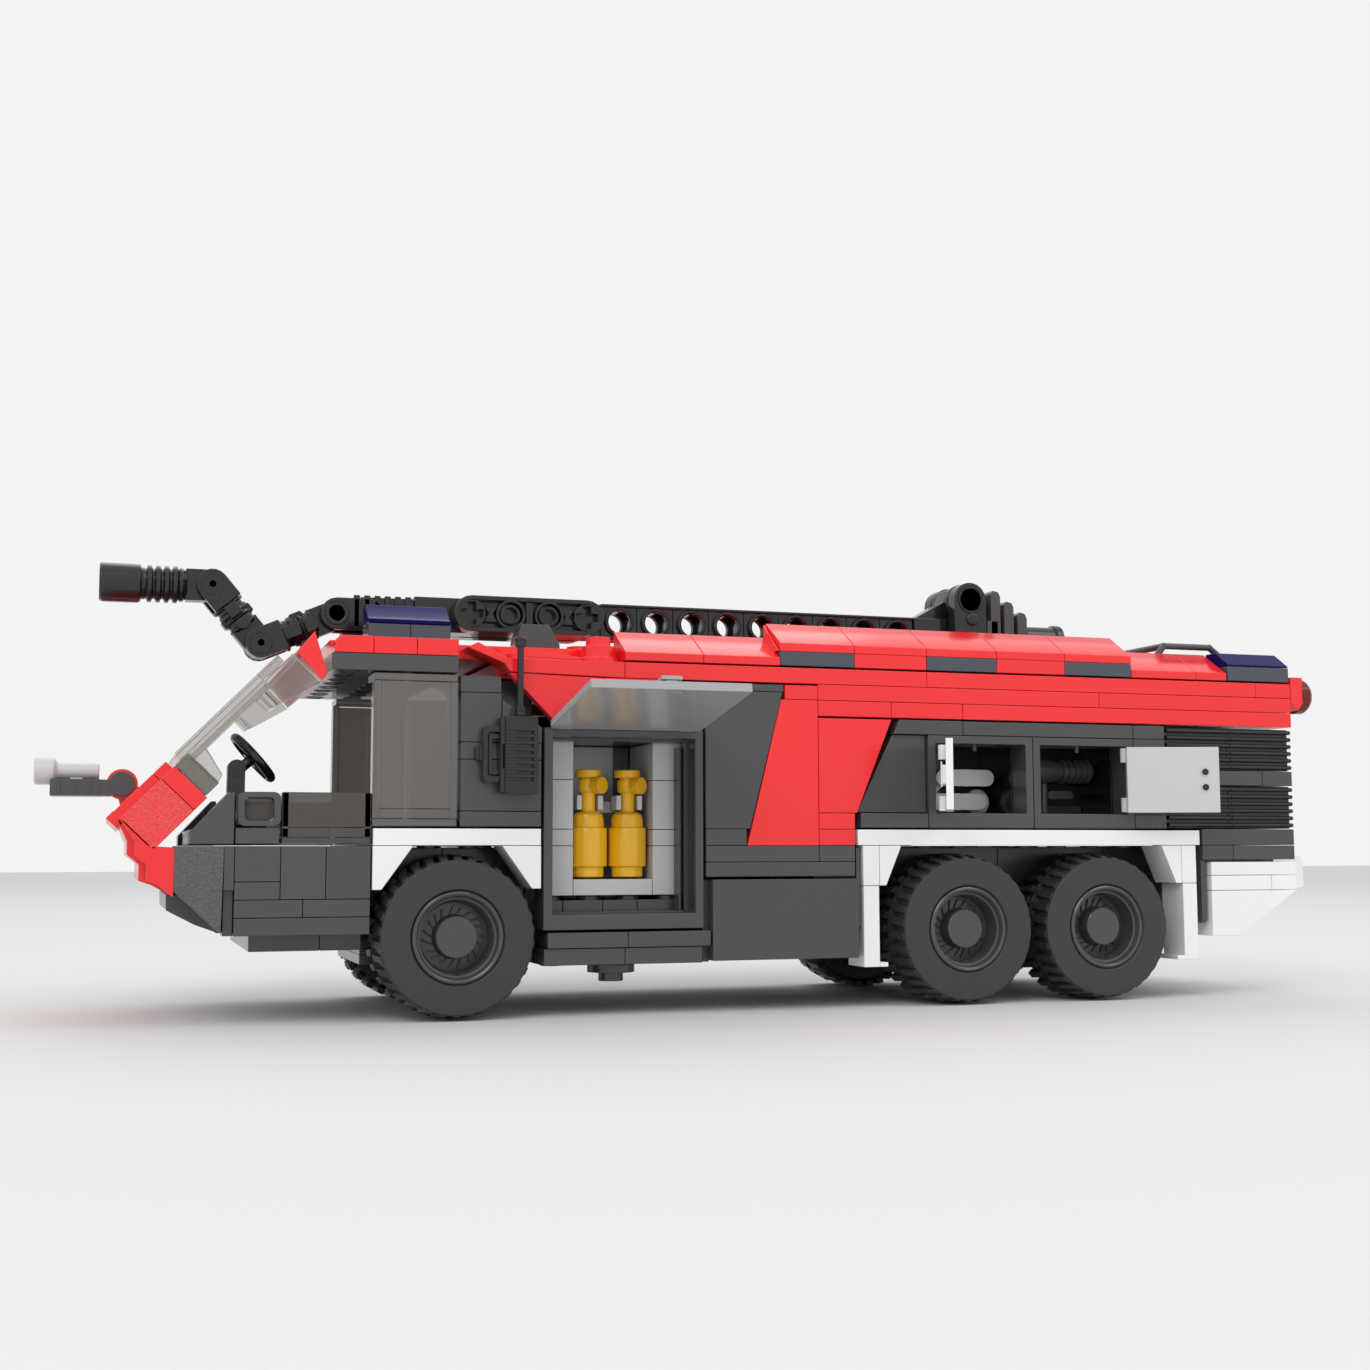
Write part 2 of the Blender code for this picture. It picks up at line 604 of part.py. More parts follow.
def build_middle():
    """Dark panels with the bulkhead that joins them, and the red panels beside them."""
    top = roof_level - gap
    bottom = level(-2) + gap
    dark_middle = box((middle_start + gap, middle_start + stud), core, (bottom, top), "middle_panels", dark)
    for _, side in sides:
        y = mirrored((inner_wall - 0.5 * mm, half_width), side)
        skin = side_cut([(middle_start + gap, bottom), (rear_start - gap, bottom), (rear_start - gap, fender_level - gap),
                         (slant_low - gap, fender_level - gap), (slant_high - gap, top),
                         (locker_start + 1.5 * stud, top), (locker_start + 1.5 * stud, locker_top),
                         (middle_start + gap, locker_top)], y)
        fuse(dark_middle, skin)

    step_end = rear_start + stud + 0.4 * mm
    inside = box((middle_start + 1.5 * stud, rear_start - gap), core, (fender_level, level(2) - gap),
                 "red_panels", red)
    for _, side in sides:
        y = mirrored((inner_wall - 0.5 * mm, half_width), side)
        skin = side_cut([(slant_low, fender_level), (rear_start - gap, fender_level), (rear_start - gap, level(2)),
                         (step_end, rows_low - gap), (upper_rows_start - gap, rows_low - gap),
                         (upper_rows_start - gap, top), (slant_high, top)], y)
        fuse(inside, skin)

    low = body_bottom
    proud = 0.8 * mm
    lower = box((locker_start + gap, middle_start + 1 * mm), full_width, (low, level(-5)), "lower_panels", dark)
    carve(lower, box((0, 0.2), (-chassis_half - gap, chassis_half + gap), (0, level(-5) - 0.1 * mm)))
    for _, side in sides:
        y = mirrored((chassis_half + 2 * gap, half_width + proud), side)
        fuse(lower, box((middle_start, rear_start + 1 * mm), y, (low, level(-2))))


# ---- rear lockers ------------------------------------------------------------------------
def build_rear_lockers():
    low = level(1) + gap
    high = rows_low - gap
    shell = side_cut([(rear_start + 2.2 * mm, low), (lockers_end + stud - gap, low), (lockers_end + stud - gap, high),
                      (rear_start + stud + 2 * mm, high), (rear_start + 1 * mm, level(2))],
                     full_width, "rear_lockers", dark)
    recess = 1.6 * mm
    for _, side in sides:
        carve(shell, box((rear_start - stud, lockers_start), mirrored((half_width - recess, body_width), side), (0, 0.1)))
        for start in (lockers_start, lockers_start + frame_width):
            carve(shell, box((start + panel, start + frame_width - panel), mirrored((stud + 4 * mm, body_width), side),
                             (level(2), locker_top - panel)))
    carve(shell, box((rear_start + 2 * stud, lockers_end), (-stud, stud), (0, locker_top)))


def build_small_doors():
    """Four locker doors: each pair is hinged at its outer edges and stored open."""
    low = level(2) + gap
    y_hinge = half_width + hinge_knuckle - 0.2 * mm
    width = frame_width - 2 * panel - 2 * gap - hinge_knuckle
    placings = (("front", lockers_start + panel + gap + hinge_knuckle, 1, front_door_open),
                ("rear", lockers_end - panel - gap - hinge_knuckle, -1, rear_door_open))
    for label, side in sides:
        for place, x, way, angle in placings:
            span = sorted_pair(x, x + way * width)
            door = box(span, mirrored((half_width - panel, half_width), side), (low, low + small_door_height),
                       place + "_door_" + label, white if place == "front" else light_grey)
            knuckle = cylinder((x, side * y_hinge, low + small_door_height / 2), hinge_knuckle, small_door_height,
                               "Z", 12)
            grip_x = x + way * (width - 3 * mm)
            grip = box((grip_x - 0.8 * mm, grip_x + 0.8 * mm),
                       mirrored((half_width - 0.5 * mm, half_width + 1 * mm), side),
                       (low + 4.4 * mm, low + 9.4 * mm))
            fuse(door, knuckle, grip)
            for item in (door, knuckle, grip):
                set_pivot(item, x, side * y_hinge, low)
                item.rotation_euler = (0, 0, side * way * angle)


def build_tools(label, side):
    """A folded tool and a hose nozzle on one carrier plate across both lockers."""
    depth = stud + 4 * mm
    back = mirrored((depth + gap, depth + gap + panel), side)
    start = lockers_start + panel + gap
    floor = level(2) + gap
    tools = box((start, start + frame_width - 2 * panel - 2 * gap), back, (floor, floor + 2 * mm),
                "locker_tool_" + label, light_grey)
    y = side * (depth + 8 * mm)
    x = start + 4.5 * mm
    for rise in (2.2 * mm, 8.3 * mm):
        fuse(tools, cylinder((x + 7 * mm, y, floor + rise), 1.9 * mm, 12 * mm, "X", 12))
    fuse(tools, box((x + 1 * mm, x + 3.5 * mm), sorted_pair(side * (depth + 1 * mm), y),
                    (floor + 0.3 * mm, floor + 10 * mm)))

    start += frame_width
    hose = box((start, start + frame_width - 2 * panel - 2 * gap), back, (floor, floor + 2 * mm),
               "locker_hose_" + label, black)
    y = side * (depth + 7 * mm)
    fuse(hose, box((start + 8 * mm, start + 12 * mm), sorted_pair(side * (depth + 1 * mm), y),
                   (floor + 0.3 * mm, floor + 9 * mm)),
         cylinder((start + 12.5 * mm, y, floor + 9.4 * mm), 2.6 * mm, 14 * mm, "X", 14),
         cylinder((start + 4 * mm, y, floor + 9.4 * mm), 2.4 * mm, 5 * mm, "X", 14, end_radius=1.4 * mm))


# ---- upper body, roof and tail ---------------------------------------------------------------
def build_upper_body():
    """Red rows and deck, open underneath, with a wing that sweeps forward on each side."""
    start = locker_start + 1.5 * stud
    upper = side_cut([(2 * stud + 1.3 * mm, deck_level + 1.8 * mm), (2 * stud + 3.4 * mm, top_level - 0.3 * mm),
                      (3 * stud + 1 * mm, deck_level), (tail_end, deck_level), (tail_end, rows_low),
                      (upper_rows_start, rows_low), (upper_rows_start, roof_level), (start - gap, roof_level),
                      (start - gap - 0.8 * stud, rows_low + 1.6 * mm),
                      (locker_start + 2.2 * mm, locker_top + 0.6 * mm)], full_width, "upper_body", red)
    carve(upper, box((0, start), core, (0, 2 * roof_level)),
          box((upper_rows_start - stud, tail_end - wall), core, (0, roof_level)))


def build_roof():
    low = deck_level + gap
    deck = box((2 * stud + gap, tail_end - 2 * stud - gap), core, (low, top_level), "roof", red)
    lip = 1.6 * mm
    rise = 6.4 * mm
    runs = ((6 * stud, 10 * stud, low), (10 * stud, 20 * stud, top_level), (20 * stud, 23 * stud, low))
    for _, side in sides:
        for start, end, base in runs:
            shape = [(side * half_width, low), (side * half_width, base + lip), (side * inner_wall, base + rise),
                     (side * (inner_wall - 0.5 * mm), base + rise), (side * (inner_wall - 0.5 * mm), low)]
            fuse(deck, end_cut(shape, (start, min(end, tail_end - 2 * stud) - gap)))
    hood = side_cut([(tail_end - 3.4 * stud, top_level - 1 * mm), (tail_end - 2.8 * stud, top_level + 5.2 * mm),
                     (tail_end - 2 * stud - gap, top_level + 5.2 * mm), (tail_end - 2 * stud - gap, top_level - 1 * mm)],
                    (-inner_wall + wall, inner_wall - wall))
    fuse(deck, hood)


def build_tail():
    low = level(1) + gap
    start = lockers_end + stud
    body = box((start, tail_end - gap), full_width, (low, rows_low - gap), "rear_body", dark)
    carve(body, box((start + stud, tail_end - stud), (-inner_wall, inner_wall), (0, locker_top)))
    skirt = box((rear_end + gap, tail_end - gap), full_width, (level(-1), low + 1 * mm))
    flaps = [box((rear_end + gap, rear_end + 1.8 * mm), mirrored((chassis_half + 2 * gap, half_width - 1 * mm), side),
                 (level(-5), level(-1) + 1 * mm)) for _, side in sides]
    fuse(body, skirt, *flaps)

    high = level(-1) - gap
    front = rear_end + 2.2 * mm
    bumper = side_cut([(front, high), (tail_end, high), (tail_end, level(-3)), (rear_end + 9 * mm, level(-6)),
                       (front, level(-6))], full_width, "rear_bumper", white)
    end_top = level(-1) + 1.1 * mm
    fuse(bumper, side_cut([(tail_end - 1 * mm, high), (tail_end - 1 * mm, level(-3) + 0.1 * mm),
                           (bumper_end, level(-3) + 0.1 * mm), (bumper_end, end_top), (tail_end, end_top),
                           (tail_end, high)], core))

    lamps = box((tail_end + gap, tail_end + plate), full_width,
                (level(cab_plates - 1), deck_level + 1.6 * mm), "rear_lamps", lamp_red)
    for _, side in sides:
        fuse(lamps, cylinder((tail_end + 1.5 * plate, side * (half_width - stud / 2), roof_level + 0.8 * mm),
                             3.9 * mm, plate + 1 * mm, "X", 20))


# ---- radio ------------------------------------------------------------------------------------
def build_radio():
    """Handset with its aerial on the left column, beside a ribbed speaker."""
    x = 27.0 * mm
    y = -half_width - gap
    low = level(3)
    handset = box((x - 3.2 * mm, x + 3.2 * mm), (y - 3.6 * mm, y), (low, low + 14.4 * mm), "radio_handset", black)
    speaker = box((x - 7 * mm, x - 3 * mm), (y - 2.2 * mm, y), (low + 1.6 * mm, low + 13 * mm))
    aerial = cylinder((x, y - 1.8 * mm, low + 21.6 * mm), 0.8 * mm, 15 * mm, "Z", 10)
    tip = cylinder((x, y - 1.8 * mm, low + 28.6 * mm), 1.3 * mm, 1.4 * mm, "Z", 10)
    fuse(handset, speaker, aerial, tip)


# ---- boom ---------------------------------------------------------------------------------------
def fork_slot(pivot, reach):
    """Room for the next link's tongue between a fork's two cheeks."""
    return cylinder((pivot.x, 0, pivot.y), reach, 2 * (lug_width + gap), sides=20)


def build_boom():
    rear = boom_pivot.x
    low = beam_axis - beam_height / 2
    high = beam_axis + beam_height / 2
    y = (-beam_half_width, beam_half_width)
    beam = side_cut([(elbow.x - 1 * mm, low + 1 * mm), (2 * stud, low), (rear - 6 * mm, low), (rear - 1 * mm, boom_pivot.y - 4 * mm),
                     (rear - 2 * mm, boom_pivot.y + 3.4 * mm), (rear - 11 * mm, high), (4 * stud, high),
                     (elbow.x - 1 * mm, high - 1.5 * mm)], y, "boom", dark)
    lug = cylinder((rear, 0, boom_pivot.y), lug_radius, 2 * beam_half_width, sides=20)
    nose = cylinder((elbow.x, 0, elbow.y), knuckle_radius, 2 * beam_half_width, sides=20)
    cheeks = []
    for _, side in sides:
        reach = mirrored((beam_half_width - 0.5 * mm, 2 * beam_half_width), side)
        cheeks.append(side_cut(stadium(rear - 14 * stud, rear - 11 * stud, beam_axis, beam_height / 2 - 0.05 * mm), reach))
    fuse(beam, lug, nose, *cheeks)
    holes = [cylinder((rear - step * stud, 0, beam_axis), hole_radius, 4 * beam_half_width, sides=12)
             for step in range(2, 11)]
    eye = cylinder((rear, 0, boom_pivot.y), pin_radius + pin_fit, body_width, sides=16)
    carve(beam, fork_slot(elbow, knuckle_radius + 1 * mm), eye, *holes)
    set_pivot(beam, rear, 0, boom_pivot.y)


def build_boom_base():
    rear = boom_pivot.x
    y_in = beam_half_width + gap
    y_out = 2 * beam_half_width
    low = top_level + gap
    base = box((rear - stud / 2, rear + 2 * stud), (-y_out, y_out), (low, low + 2 * mm), "boom_base", dark)
    for _, side in sides:
        bracket = arch(rear, low + 1 * mm, boom_pivot.y, stud / 2 - 0.1 * mm)
        fuse(base, side_cut(bracket, mirrored((y_in, y_out - 0.1 * mm), side)))
    tail = rear + stud / 2 + 1 * mm
    end = rear + 2.8 * stud
    high = beam_axis + beam_height / 2
    y = (-beam_half_width, beam_half_width)
    radius = beam_height / 2
    turns = [math.pi * step / 10 for step in range(11)]
    stub = side_cut([(tail + 1 * mm, beam_axis - radius), (tail + 1 * mm, high)]
                    + [(end + radius * math.sin(turn), beam_axis + radius * math.cos(turn)) for turn in turns], y)
    ribs = side_cut([(tail, low + 1 * mm), (tail, high + 6.4 * mm), (tail + 5.6 * mm, high + 6.4 * mm),
                     (tail + 9.6 * mm, high + 1.6 * mm), (tail + 9.6 * mm, low + 1 * mm)],
                    (y[0] + 0.2 * mm, y[1] - 0.2 * mm))
    pin = cylinder((rear, 0, boom_pivot.y), pin_radius, 2 * y_out, sides=16)
    fuse(base, stub, ribs, pin)


def link_profile(start, end, half_height):
    """A straight bar's outline between two hinge points, set back from both."""
    along = (end - start).normalized()
    across = Vector((-along.y, along.x)) * half_height
    return [start + across, start - across, end - across, end + across]


def build_links():
    half_height = 3.1 * mm
    y = (-beam_half_width, beam_half_width)
    tongue = 2 * lug_width

    def tongue_at(pivot, towards):
        step = (towards - pivot).normalized() * (knuckle_radius + 1.4 * mm)
        bar = side_cut(link_profile(pivot, pivot + 1.3 * step, 2.2 * mm), (-lug_width, lug_width))
        disc = cylinder((pivot.x, 0, pivot.y), knuckle_radius - 0.2 * mm, tongue, sides=20)
        return bar, disc, pivot + step

    def fork_at(pivot):
        return cylinder((pivot.x, 0, pivot.y), knuckle_radius, 2 * beam_half_width, sides=20)

    bar, disc, body_start = tongue_at(elbow, knee)
    link = side_cut(link_profile(body_start, knee, half_height), y, "boom_elbow", dark)
    fuse(link, fork_at(knee), bar, disc)
    carve(link, fork_slot(knee, knuckle_radius + 1 * mm))
    set_pivot(link, elbow.x, 0, elbow.y)

    bar, disc, body_start = tongue_at(knee, nozzle_hinge)
    neck = side_cut(link_profile(body_start, nozzle_hinge, half_height), y, "boom_neck", dark)
    fuse(neck, fork_at(nozzle_hinge), bar, disc)
    carve(neck, fork_slot(nozzle_hinge, knuckle_radius + 1 * mm))
    set_pivot(neck, knee.x, 0, knee.y)

    forward = nozzle_hinge - Vector((1, 0))
    bar, disc, body_start = tongue_at(nozzle_hinge, forward)
    length = nozzle_length - (nozzle_hinge.x - body_start.x)
    barrel = cylinder((body_start.x - length / 2, 0, nozzle_hinge.y), nozzle_radius, length, "X", 20,
                      name="boom_nozzle", material=black)
    throat = cylinder((body_start.x - length, 0, nozzle_hinge.y), nozzle_radius - 1.2 * mm, 10 * mm, "X", 16)
    fuse(barrel, bar, disc)
    carve(barrel, throat)
    set_pivot(barrel, nozzle_hinge.x, 0, nozzle_hinge.y)


def build_turret():
    x, z = turret_pivot
    low = z - turret_radius
    cheek = (lug_width + gap, beam_half_width)
    reach = x - turret_reach
    arm = box((reach, x - 3.8 * mm), (-beam_half_width, beam_half_width), (low, low + turret_arm_height),
              "bumper_turret", black)
    for _, side in sides:
        y = mirrored(cheek, side)
        fuse(arm, box((x - 4 * mm, x), y, (low, low + turret_arm_height)),
             cylinder((x, side * (cheek[0] + cheek[1]) / 2, z), turret_radius, cheek[1] - cheek[0], sides=20))
    axis = low + turret_arm_height + 1.5 * mm
    fuse(arm, cylinder((x - turret_tip + 8 * mm, 0, axis), 1.6 * mm, 8 * mm, "X", 16),
         cylinder((x - turret_tip + 2.05 * mm, 0, axis), 2.6 * mm, 4.1 * mm, "X", 16))
    set_pivot(arm, x, 0, z)


build_chassis()
for axle_name, axle_x in (("front_axle", front_axle), ("middle_axle", middle_axle), ("rear_axle", rear_axle)):
    build_axle(axle_name, axle_x)
for row, axle_x in (("front", front_axle), ("middle", middle_axle), ("rear", rear_axle)):
    for side_label, side_sign in sides:
        build_wheel(row + "_" + side_label, axle_x, side_sign)
build_lower_cab()
build_nose()
build_windscreen()
build_cab_roof()
build_beacons()
build_cab_windows()
build_dashboard()
build_steering()
build_cab_rear()
build_fenders()
build_front_lockers()
build_locker_lining()
build_middle()
build_rear_lockers()
build_small_doors()
for side_label, side_sign in sides:
    build_extinguishers(side_label, side_sign)
    build_hatch(side_label, side_sign)
    build_tools(side_label, side_sign)
build_upper_body()
build_roof()
build_tail()
build_radio()
build_boom()
build_boom_base()
build_links()
build_turret()
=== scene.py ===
import bmesh
import bpy
import math
import random
from mathutils import Matrix, Vector


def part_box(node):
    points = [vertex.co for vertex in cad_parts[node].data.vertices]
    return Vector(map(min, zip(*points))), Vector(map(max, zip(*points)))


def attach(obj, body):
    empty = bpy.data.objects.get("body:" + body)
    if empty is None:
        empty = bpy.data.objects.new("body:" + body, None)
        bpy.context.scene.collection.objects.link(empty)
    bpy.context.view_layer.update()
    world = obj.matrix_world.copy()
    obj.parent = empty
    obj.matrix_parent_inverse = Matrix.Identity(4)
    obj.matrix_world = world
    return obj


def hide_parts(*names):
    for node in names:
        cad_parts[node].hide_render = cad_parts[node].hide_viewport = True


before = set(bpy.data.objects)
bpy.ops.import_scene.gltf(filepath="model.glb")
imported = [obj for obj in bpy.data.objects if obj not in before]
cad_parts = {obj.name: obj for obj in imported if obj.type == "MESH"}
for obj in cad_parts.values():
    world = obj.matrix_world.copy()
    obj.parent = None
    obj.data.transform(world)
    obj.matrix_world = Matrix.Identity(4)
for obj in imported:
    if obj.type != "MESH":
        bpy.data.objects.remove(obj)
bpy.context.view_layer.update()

# The brick grid, in mm. x runs back from the front arch, y to the truck's right, z up from the floor.
stud = 8.0
plate = 3.2
halfWidth = 32.0
inner = 24.0
stripLow = 32.0
cadGap = 0.3
seam = 0.05                     # each brick stops this far short of its neighbour
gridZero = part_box("front_fenders")[0].x * 1000 - cadGap
dice = random.Random(7)
sides = (-1, 1)


def lv(plates):
    return stripLow + plates * plate


roofZ = lv(10)
deckZ = lv(11)
topZ = lv(12)


def span(side, low, high):
    return (side * low, side * high) if side > 0 else (side * high, side * low)


def studRow(start, stop):
    return [stud * (n + 0.5) for n in range(start, stop)]


def newShape():
    return {"points": [], "faces": [], "tones": []}


def addFaces(shape, points, faces, tone=None):
    start = len(shape["points"])
    shape["points"] += [tuple(p) for p in points]
    shape["faces"] += [[start + i for i in face] for face in faces]
    shape["tones"] += [dice.random() if tone is None else tone] * len(faces)


def block(shape, x, y, z, slack=seam):
    points = [(a, b, c) for a in (x[0] + slack, x[1] - slack) for b in (y[0] + slack, y[1] - slack)
              for c in (z[0] + slack, z[1] - slack)]
    addFaces(shape, points, [(0, 1, 3, 2), (4, 6, 7, 5), (0, 4, 5, 1), (2, 3, 7, 6), (0, 2, 6, 4),
                             (1, 5, 7, 3)])


def blocks(shape, seams, y, z):
    for low, high in zip(seams, seams[1:]):
        block(shape, (low, high), y, z)


def prism(shape, outline, reach, axis="y", tone=None, shrink=seam):
    # outline holds (x, z) pairs for axis y, (y, z) for x and (x, y) for z
    low, high = reach[0] + shrink, reach[1] - shrink
    place = {"y": lambda a, b, c: (a, c, b), "x": lambda a, b, c: (c, a, b), "z": lambda a, b,
             c: (a, b, c)}[axis]
    count = len(outline)
    points = [place(a, b, c) for c in (low, high) for a, b in outline]
    faces = [list(range(count)), list(range(count, 2 * count))]
    faces += [(i, (i + 1) % count, (i + 1) % count + count, i + count) for i in range(count)]
    addFaces(shape, points, faces, tone)


def turn(direction):
    # rotation that takes +z to a direction
    return Vector(direction).to_track_quat("Z", "Y").to_matrix()


axes = {"x": (1, 0, 0), "y": (0, 1, 0), "z": (0, 0, 1)}


def lathe(shape, centre, profile, axis="z", steps=32, tone=None, ring=False):
    # profile holds (radius, height) pairs from one end to the other; ring joins the last pair to the first
    matrix = turn(axes[axis] if isinstance(axis, str) else axis)
    base = Vector(centre)
    points = []
    faces = []
    rows = []
    for radius, height in profile:
        if radius < 1e-6:
            rows.append([len(points)] * steps)
            points.append(base + matrix @ Vector((0, 0, height)))
            continue
        rows.append([len(points) + i for i in range(steps)])
        for i in range(steps):
            angle = 2 * math.pi * i / steps
            points.append(base + matrix @ Vector((radius * math.cos(angle), radius * math.sin(angle),
                                                  height)))
    pairs = list(zip(rows, rows[1:]))
    if ring:
        pairs.append((rows[-1], rows[0]))
    for low, high in pairs:
        for i in range(steps):
            k = (i + 1) % steps
            face = [low[i], low[k], high[k], high[i]]
            face = [n for j, n in enumerate(face) if n not in face[:j]]
            if len(face) > 2:
                faces.append(face)
    if not ring:
        for row in (rows[0], rows[-1]):
            if len(set(row)) > 2:
                faces.append(row)
    addFaces(shape, points, faces, tone)


def rod(shape, centre, radius, length, axis="z", steps=28, end=None, tone=None):
    lathe(shape, centre, [(radius, -length / 2), (radius if end is None else end, length / 2)], axis, steps,
          tone)


def tube(shape, centre, outer, bore, length, axis="z", steps=32, tone=None):
    half = length / 2
    lathe(shape, centre, [(outer, -half), (outer, half), (bore, half), (bore, -half)], axis, steps, tone,
          True)


def addStuds(shape, xs, ys, z, steps=24):
    for x in xs:
        for y in ys:
            lathe(shape, (x, y, z), [(2.4, -0.3), (2.4, 1.55), (2.3, 1.7), (0, 1.7)], "z", steps)


def stadium(x0, x1, z, radius, steps=8):
    # outline of a bar with round ends, along x
    turnRight = [-math.pi / 2 + math.pi * i / steps for i in range(steps + 1)]
    right = [(x1 + radius * math.cos(a), z + radius * math.sin(a)) for a in turnRight]
    left = [(x0 - radius * math.cos(a), z - radius * math.sin(a)) for a in turnRight]
    return right + left


def roundedOutline(x, z, radius, steps=4):
    corners = ((x[1], z[1], 0), (x[0], z[1], 1), (x[0], z[0], 2), (x[1], z[0], 3))
    outline = []
    for cx, cz, quarter in corners:
        sx, sz = ((-1, -1), (1, -1), (1, 1), (-1, 1))[quarter]
        for i in range(steps + 1):
            angle = math.pi / 2 * (quarter + i / steps)
            outline.append((cx + sx * radius + radius * math.cos(angle),
                            cz + sz * radius + radius * math.sin(angle)))
    return outline


def frameOf(shape, outerLine, innerLine, reach, axis="y"):
    # a ring between two outlines with the same number of corners
    low, high = reach[0] + seam, reach[1] - seam
    place = {"y": lambda a, b, c: (a, c, b), "x": lambda a, b, c: (c, a, b), "z": lambda a, b,
             c: (a, b, c)}[axis]
    count = len(outerLine)
    points = [place(a, b, c) for line, c in ((outerLine, low), (outerLine, high), (innerLine, high),
                                             (innerLine, low))
              for a, b in line]
    faces = []
    for row in range(4):
        for i in range(count):
            k = (i + 1) % count
            start, after = row * count, (row + 1) % 4 * count
            faces.append((start + i, start + k, after + k, after + i))
    addFaces(shape, points, faces)


def rectangle(x, z):
    return [(x[1], z[1]), (x[0], z[1]), (x[0], z[0]), (x[1], z[0])]


def toRow(point):
    return ((point[0] + gridZero) / 1000, point[1] / 1000, point[2] / 1000)


def makePiece(shape, name, material, body="truck", nodes=(), edge=0.12):
    # turns a shape into an object with rounded edges that rides on a body
    mesh = bpy.data.meshes.new(name)
    mesh.from_pydata([toRow(p) for p in shape["points"]], [], shape["faces"])
    tones = mesh.attributes.new("tone", "FLOAT", "FACE")
    tones.data.foreach_set("value", shape["tones"])
    work = bmesh.new()
    work.from_mesh(mesh)
    bmesh.ops.recalc_face_normals(work, faces=work.faces)
    work.to_mesh(mesh)
    work.free()
    mesh.shade_smooth()
    mesh.set_sharp_from_angle(angle=math.radians(32))
    mesh.materials.append(material)
    piece = bpy.data.objects.new(name, mesh)
    bpy.context.scene.collection.objects.link(piece)
    if edge:
        rounding = piece.modifiers.new("edges", "BEVEL")
        rounding.width = edge / 1000
        rounding.segments = 2
        rounding.limit_method = "ANGLE"
        rounding.angle_limit = math.radians(32)
        rounding.use_clamp_overlap = False
        rounding.harden_normals = True
    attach(piece, body)
    if nodes:
        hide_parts(*nodes)
    return piece


def newGroup(name, inputs, outputs):
    group = bpy.data.node_groups.new(name, "ShaderNodeTree")
    for label, kind, value in inputs:
        socket = group.interface.new_socket(label, in_out="INPUT", socket_type=kind)
        socket.default_value = value
    for label, kind in outputs:
        group.interface.new_socket(label, in_out="OUTPUT", socket_type=kind)
    return group, group.nodes.new("NodeGroupInput"), group.nodes.new("NodeGroupOutput")


def mathNode(tree, operation, first, second):
    node = tree.nodes.new("ShaderNodeMath")
    node.operation = operation
    for socket, value in zip(node.inputs, (first, second)):
        if isinstance(value, (int, float)):
            socket.default_value = value
        else:
            tree.links.new(value, socket)
    return node.outputs[0]


def noiseNode(tree, vector, scale, detail=3.0, roughness=0.5):
    node = tree.nodes.new("ShaderNodeTexNoise")
    tree.links.new(vector, node.inputs["Vector"])
    for label, value in (("Scale", scale), ("Detail", detail), ("Roughness", roughness)):
        if isinstance(value, (int, float)):
            node.inputs[label].default_value = value
        else:
            tree.links.new(value, node.inputs[label])
    return node.outputs["Fac"]


def buildMouldedGroup():
    # moulded plastic: a slightly different tone on each brick, slow ripples, and fine handling marks
    group, start, end = newGroup(
        "mouldedPlastic",
        (("Colour", "NodeSocketColor", (0.5, 0.5, 0.5, 1)), ("Tone Spread", "NodeSocketFloat", 0.06),
         ("Polish", "NodeSocketFloat", 0.16), ("Mark Strength", "NodeSocketFloat", 0.1),
         ("Ripple", "NodeSocketFloat", 0.2)),
        (("Colour", "NodeSocketColor"), ("Roughness", "NodeSocketFloat"), ("Height", "NodeSocketFloat")))
    where = group.nodes.new("ShaderNodeTexCoord").outputs["Object"]
    tone = group.nodes.new("ShaderNodeAttribute")
    tone.attribute_name = "tone"
    slow = noiseNode(group, where, 45.0, 2.0)
    shift = mathNode(group, "SUBTRACT", tone.outputs["Fac"], 0.5)
    drift = mathNode(group, "MULTIPLY", mathNode(group, "SUBTRACT", slow, 0.5), 0.35)
    shade = mathNode(group, "MULTIPLY", mathNode(group, "ADD", shift, drift), start.outputs["Tone Spread"])
    tint = group.nodes.new("ShaderNodeHueSaturation")
    group.links.new(start.outputs["Colour"], tint.inputs["Color"])
    group.links.new(mathNode(group, "ADD", shade, 1.0), tint.inputs["Value"])
    group.links.new(tint.outputs["Color"], end.inputs["Colour"])
    smudge = noiseNode(group, where, 110.0, 4.0, 0.6)
    lines = noiseNode(group, where, 700.0, 3.0, 0.7)
    marks = mathNode(group, "MULTIPLY", mathNode(group, "ADD", smudge, lines), start.outputs["Mark Strength"])
    rough = mathNode(group, "ADD", start.outputs["Polish"], mathNode(group, "SUBTRACT", marks, 0.08))
    group.links.new(rough, end.inputs["Roughness"])
    ripple = noiseNode(group, where, 90.0, 1.0)
    fine = mathNode(group, "MULTIPLY", noiseNode(group, where, 1400.0, 2.0), 0.06)
    height = mathNode(group, "MULTIPLY", mathNode(group, "ADD", ripple, fine), start.outputs["Ripple"])
    group.links.new(height, end.inputs["Height"])
    return group


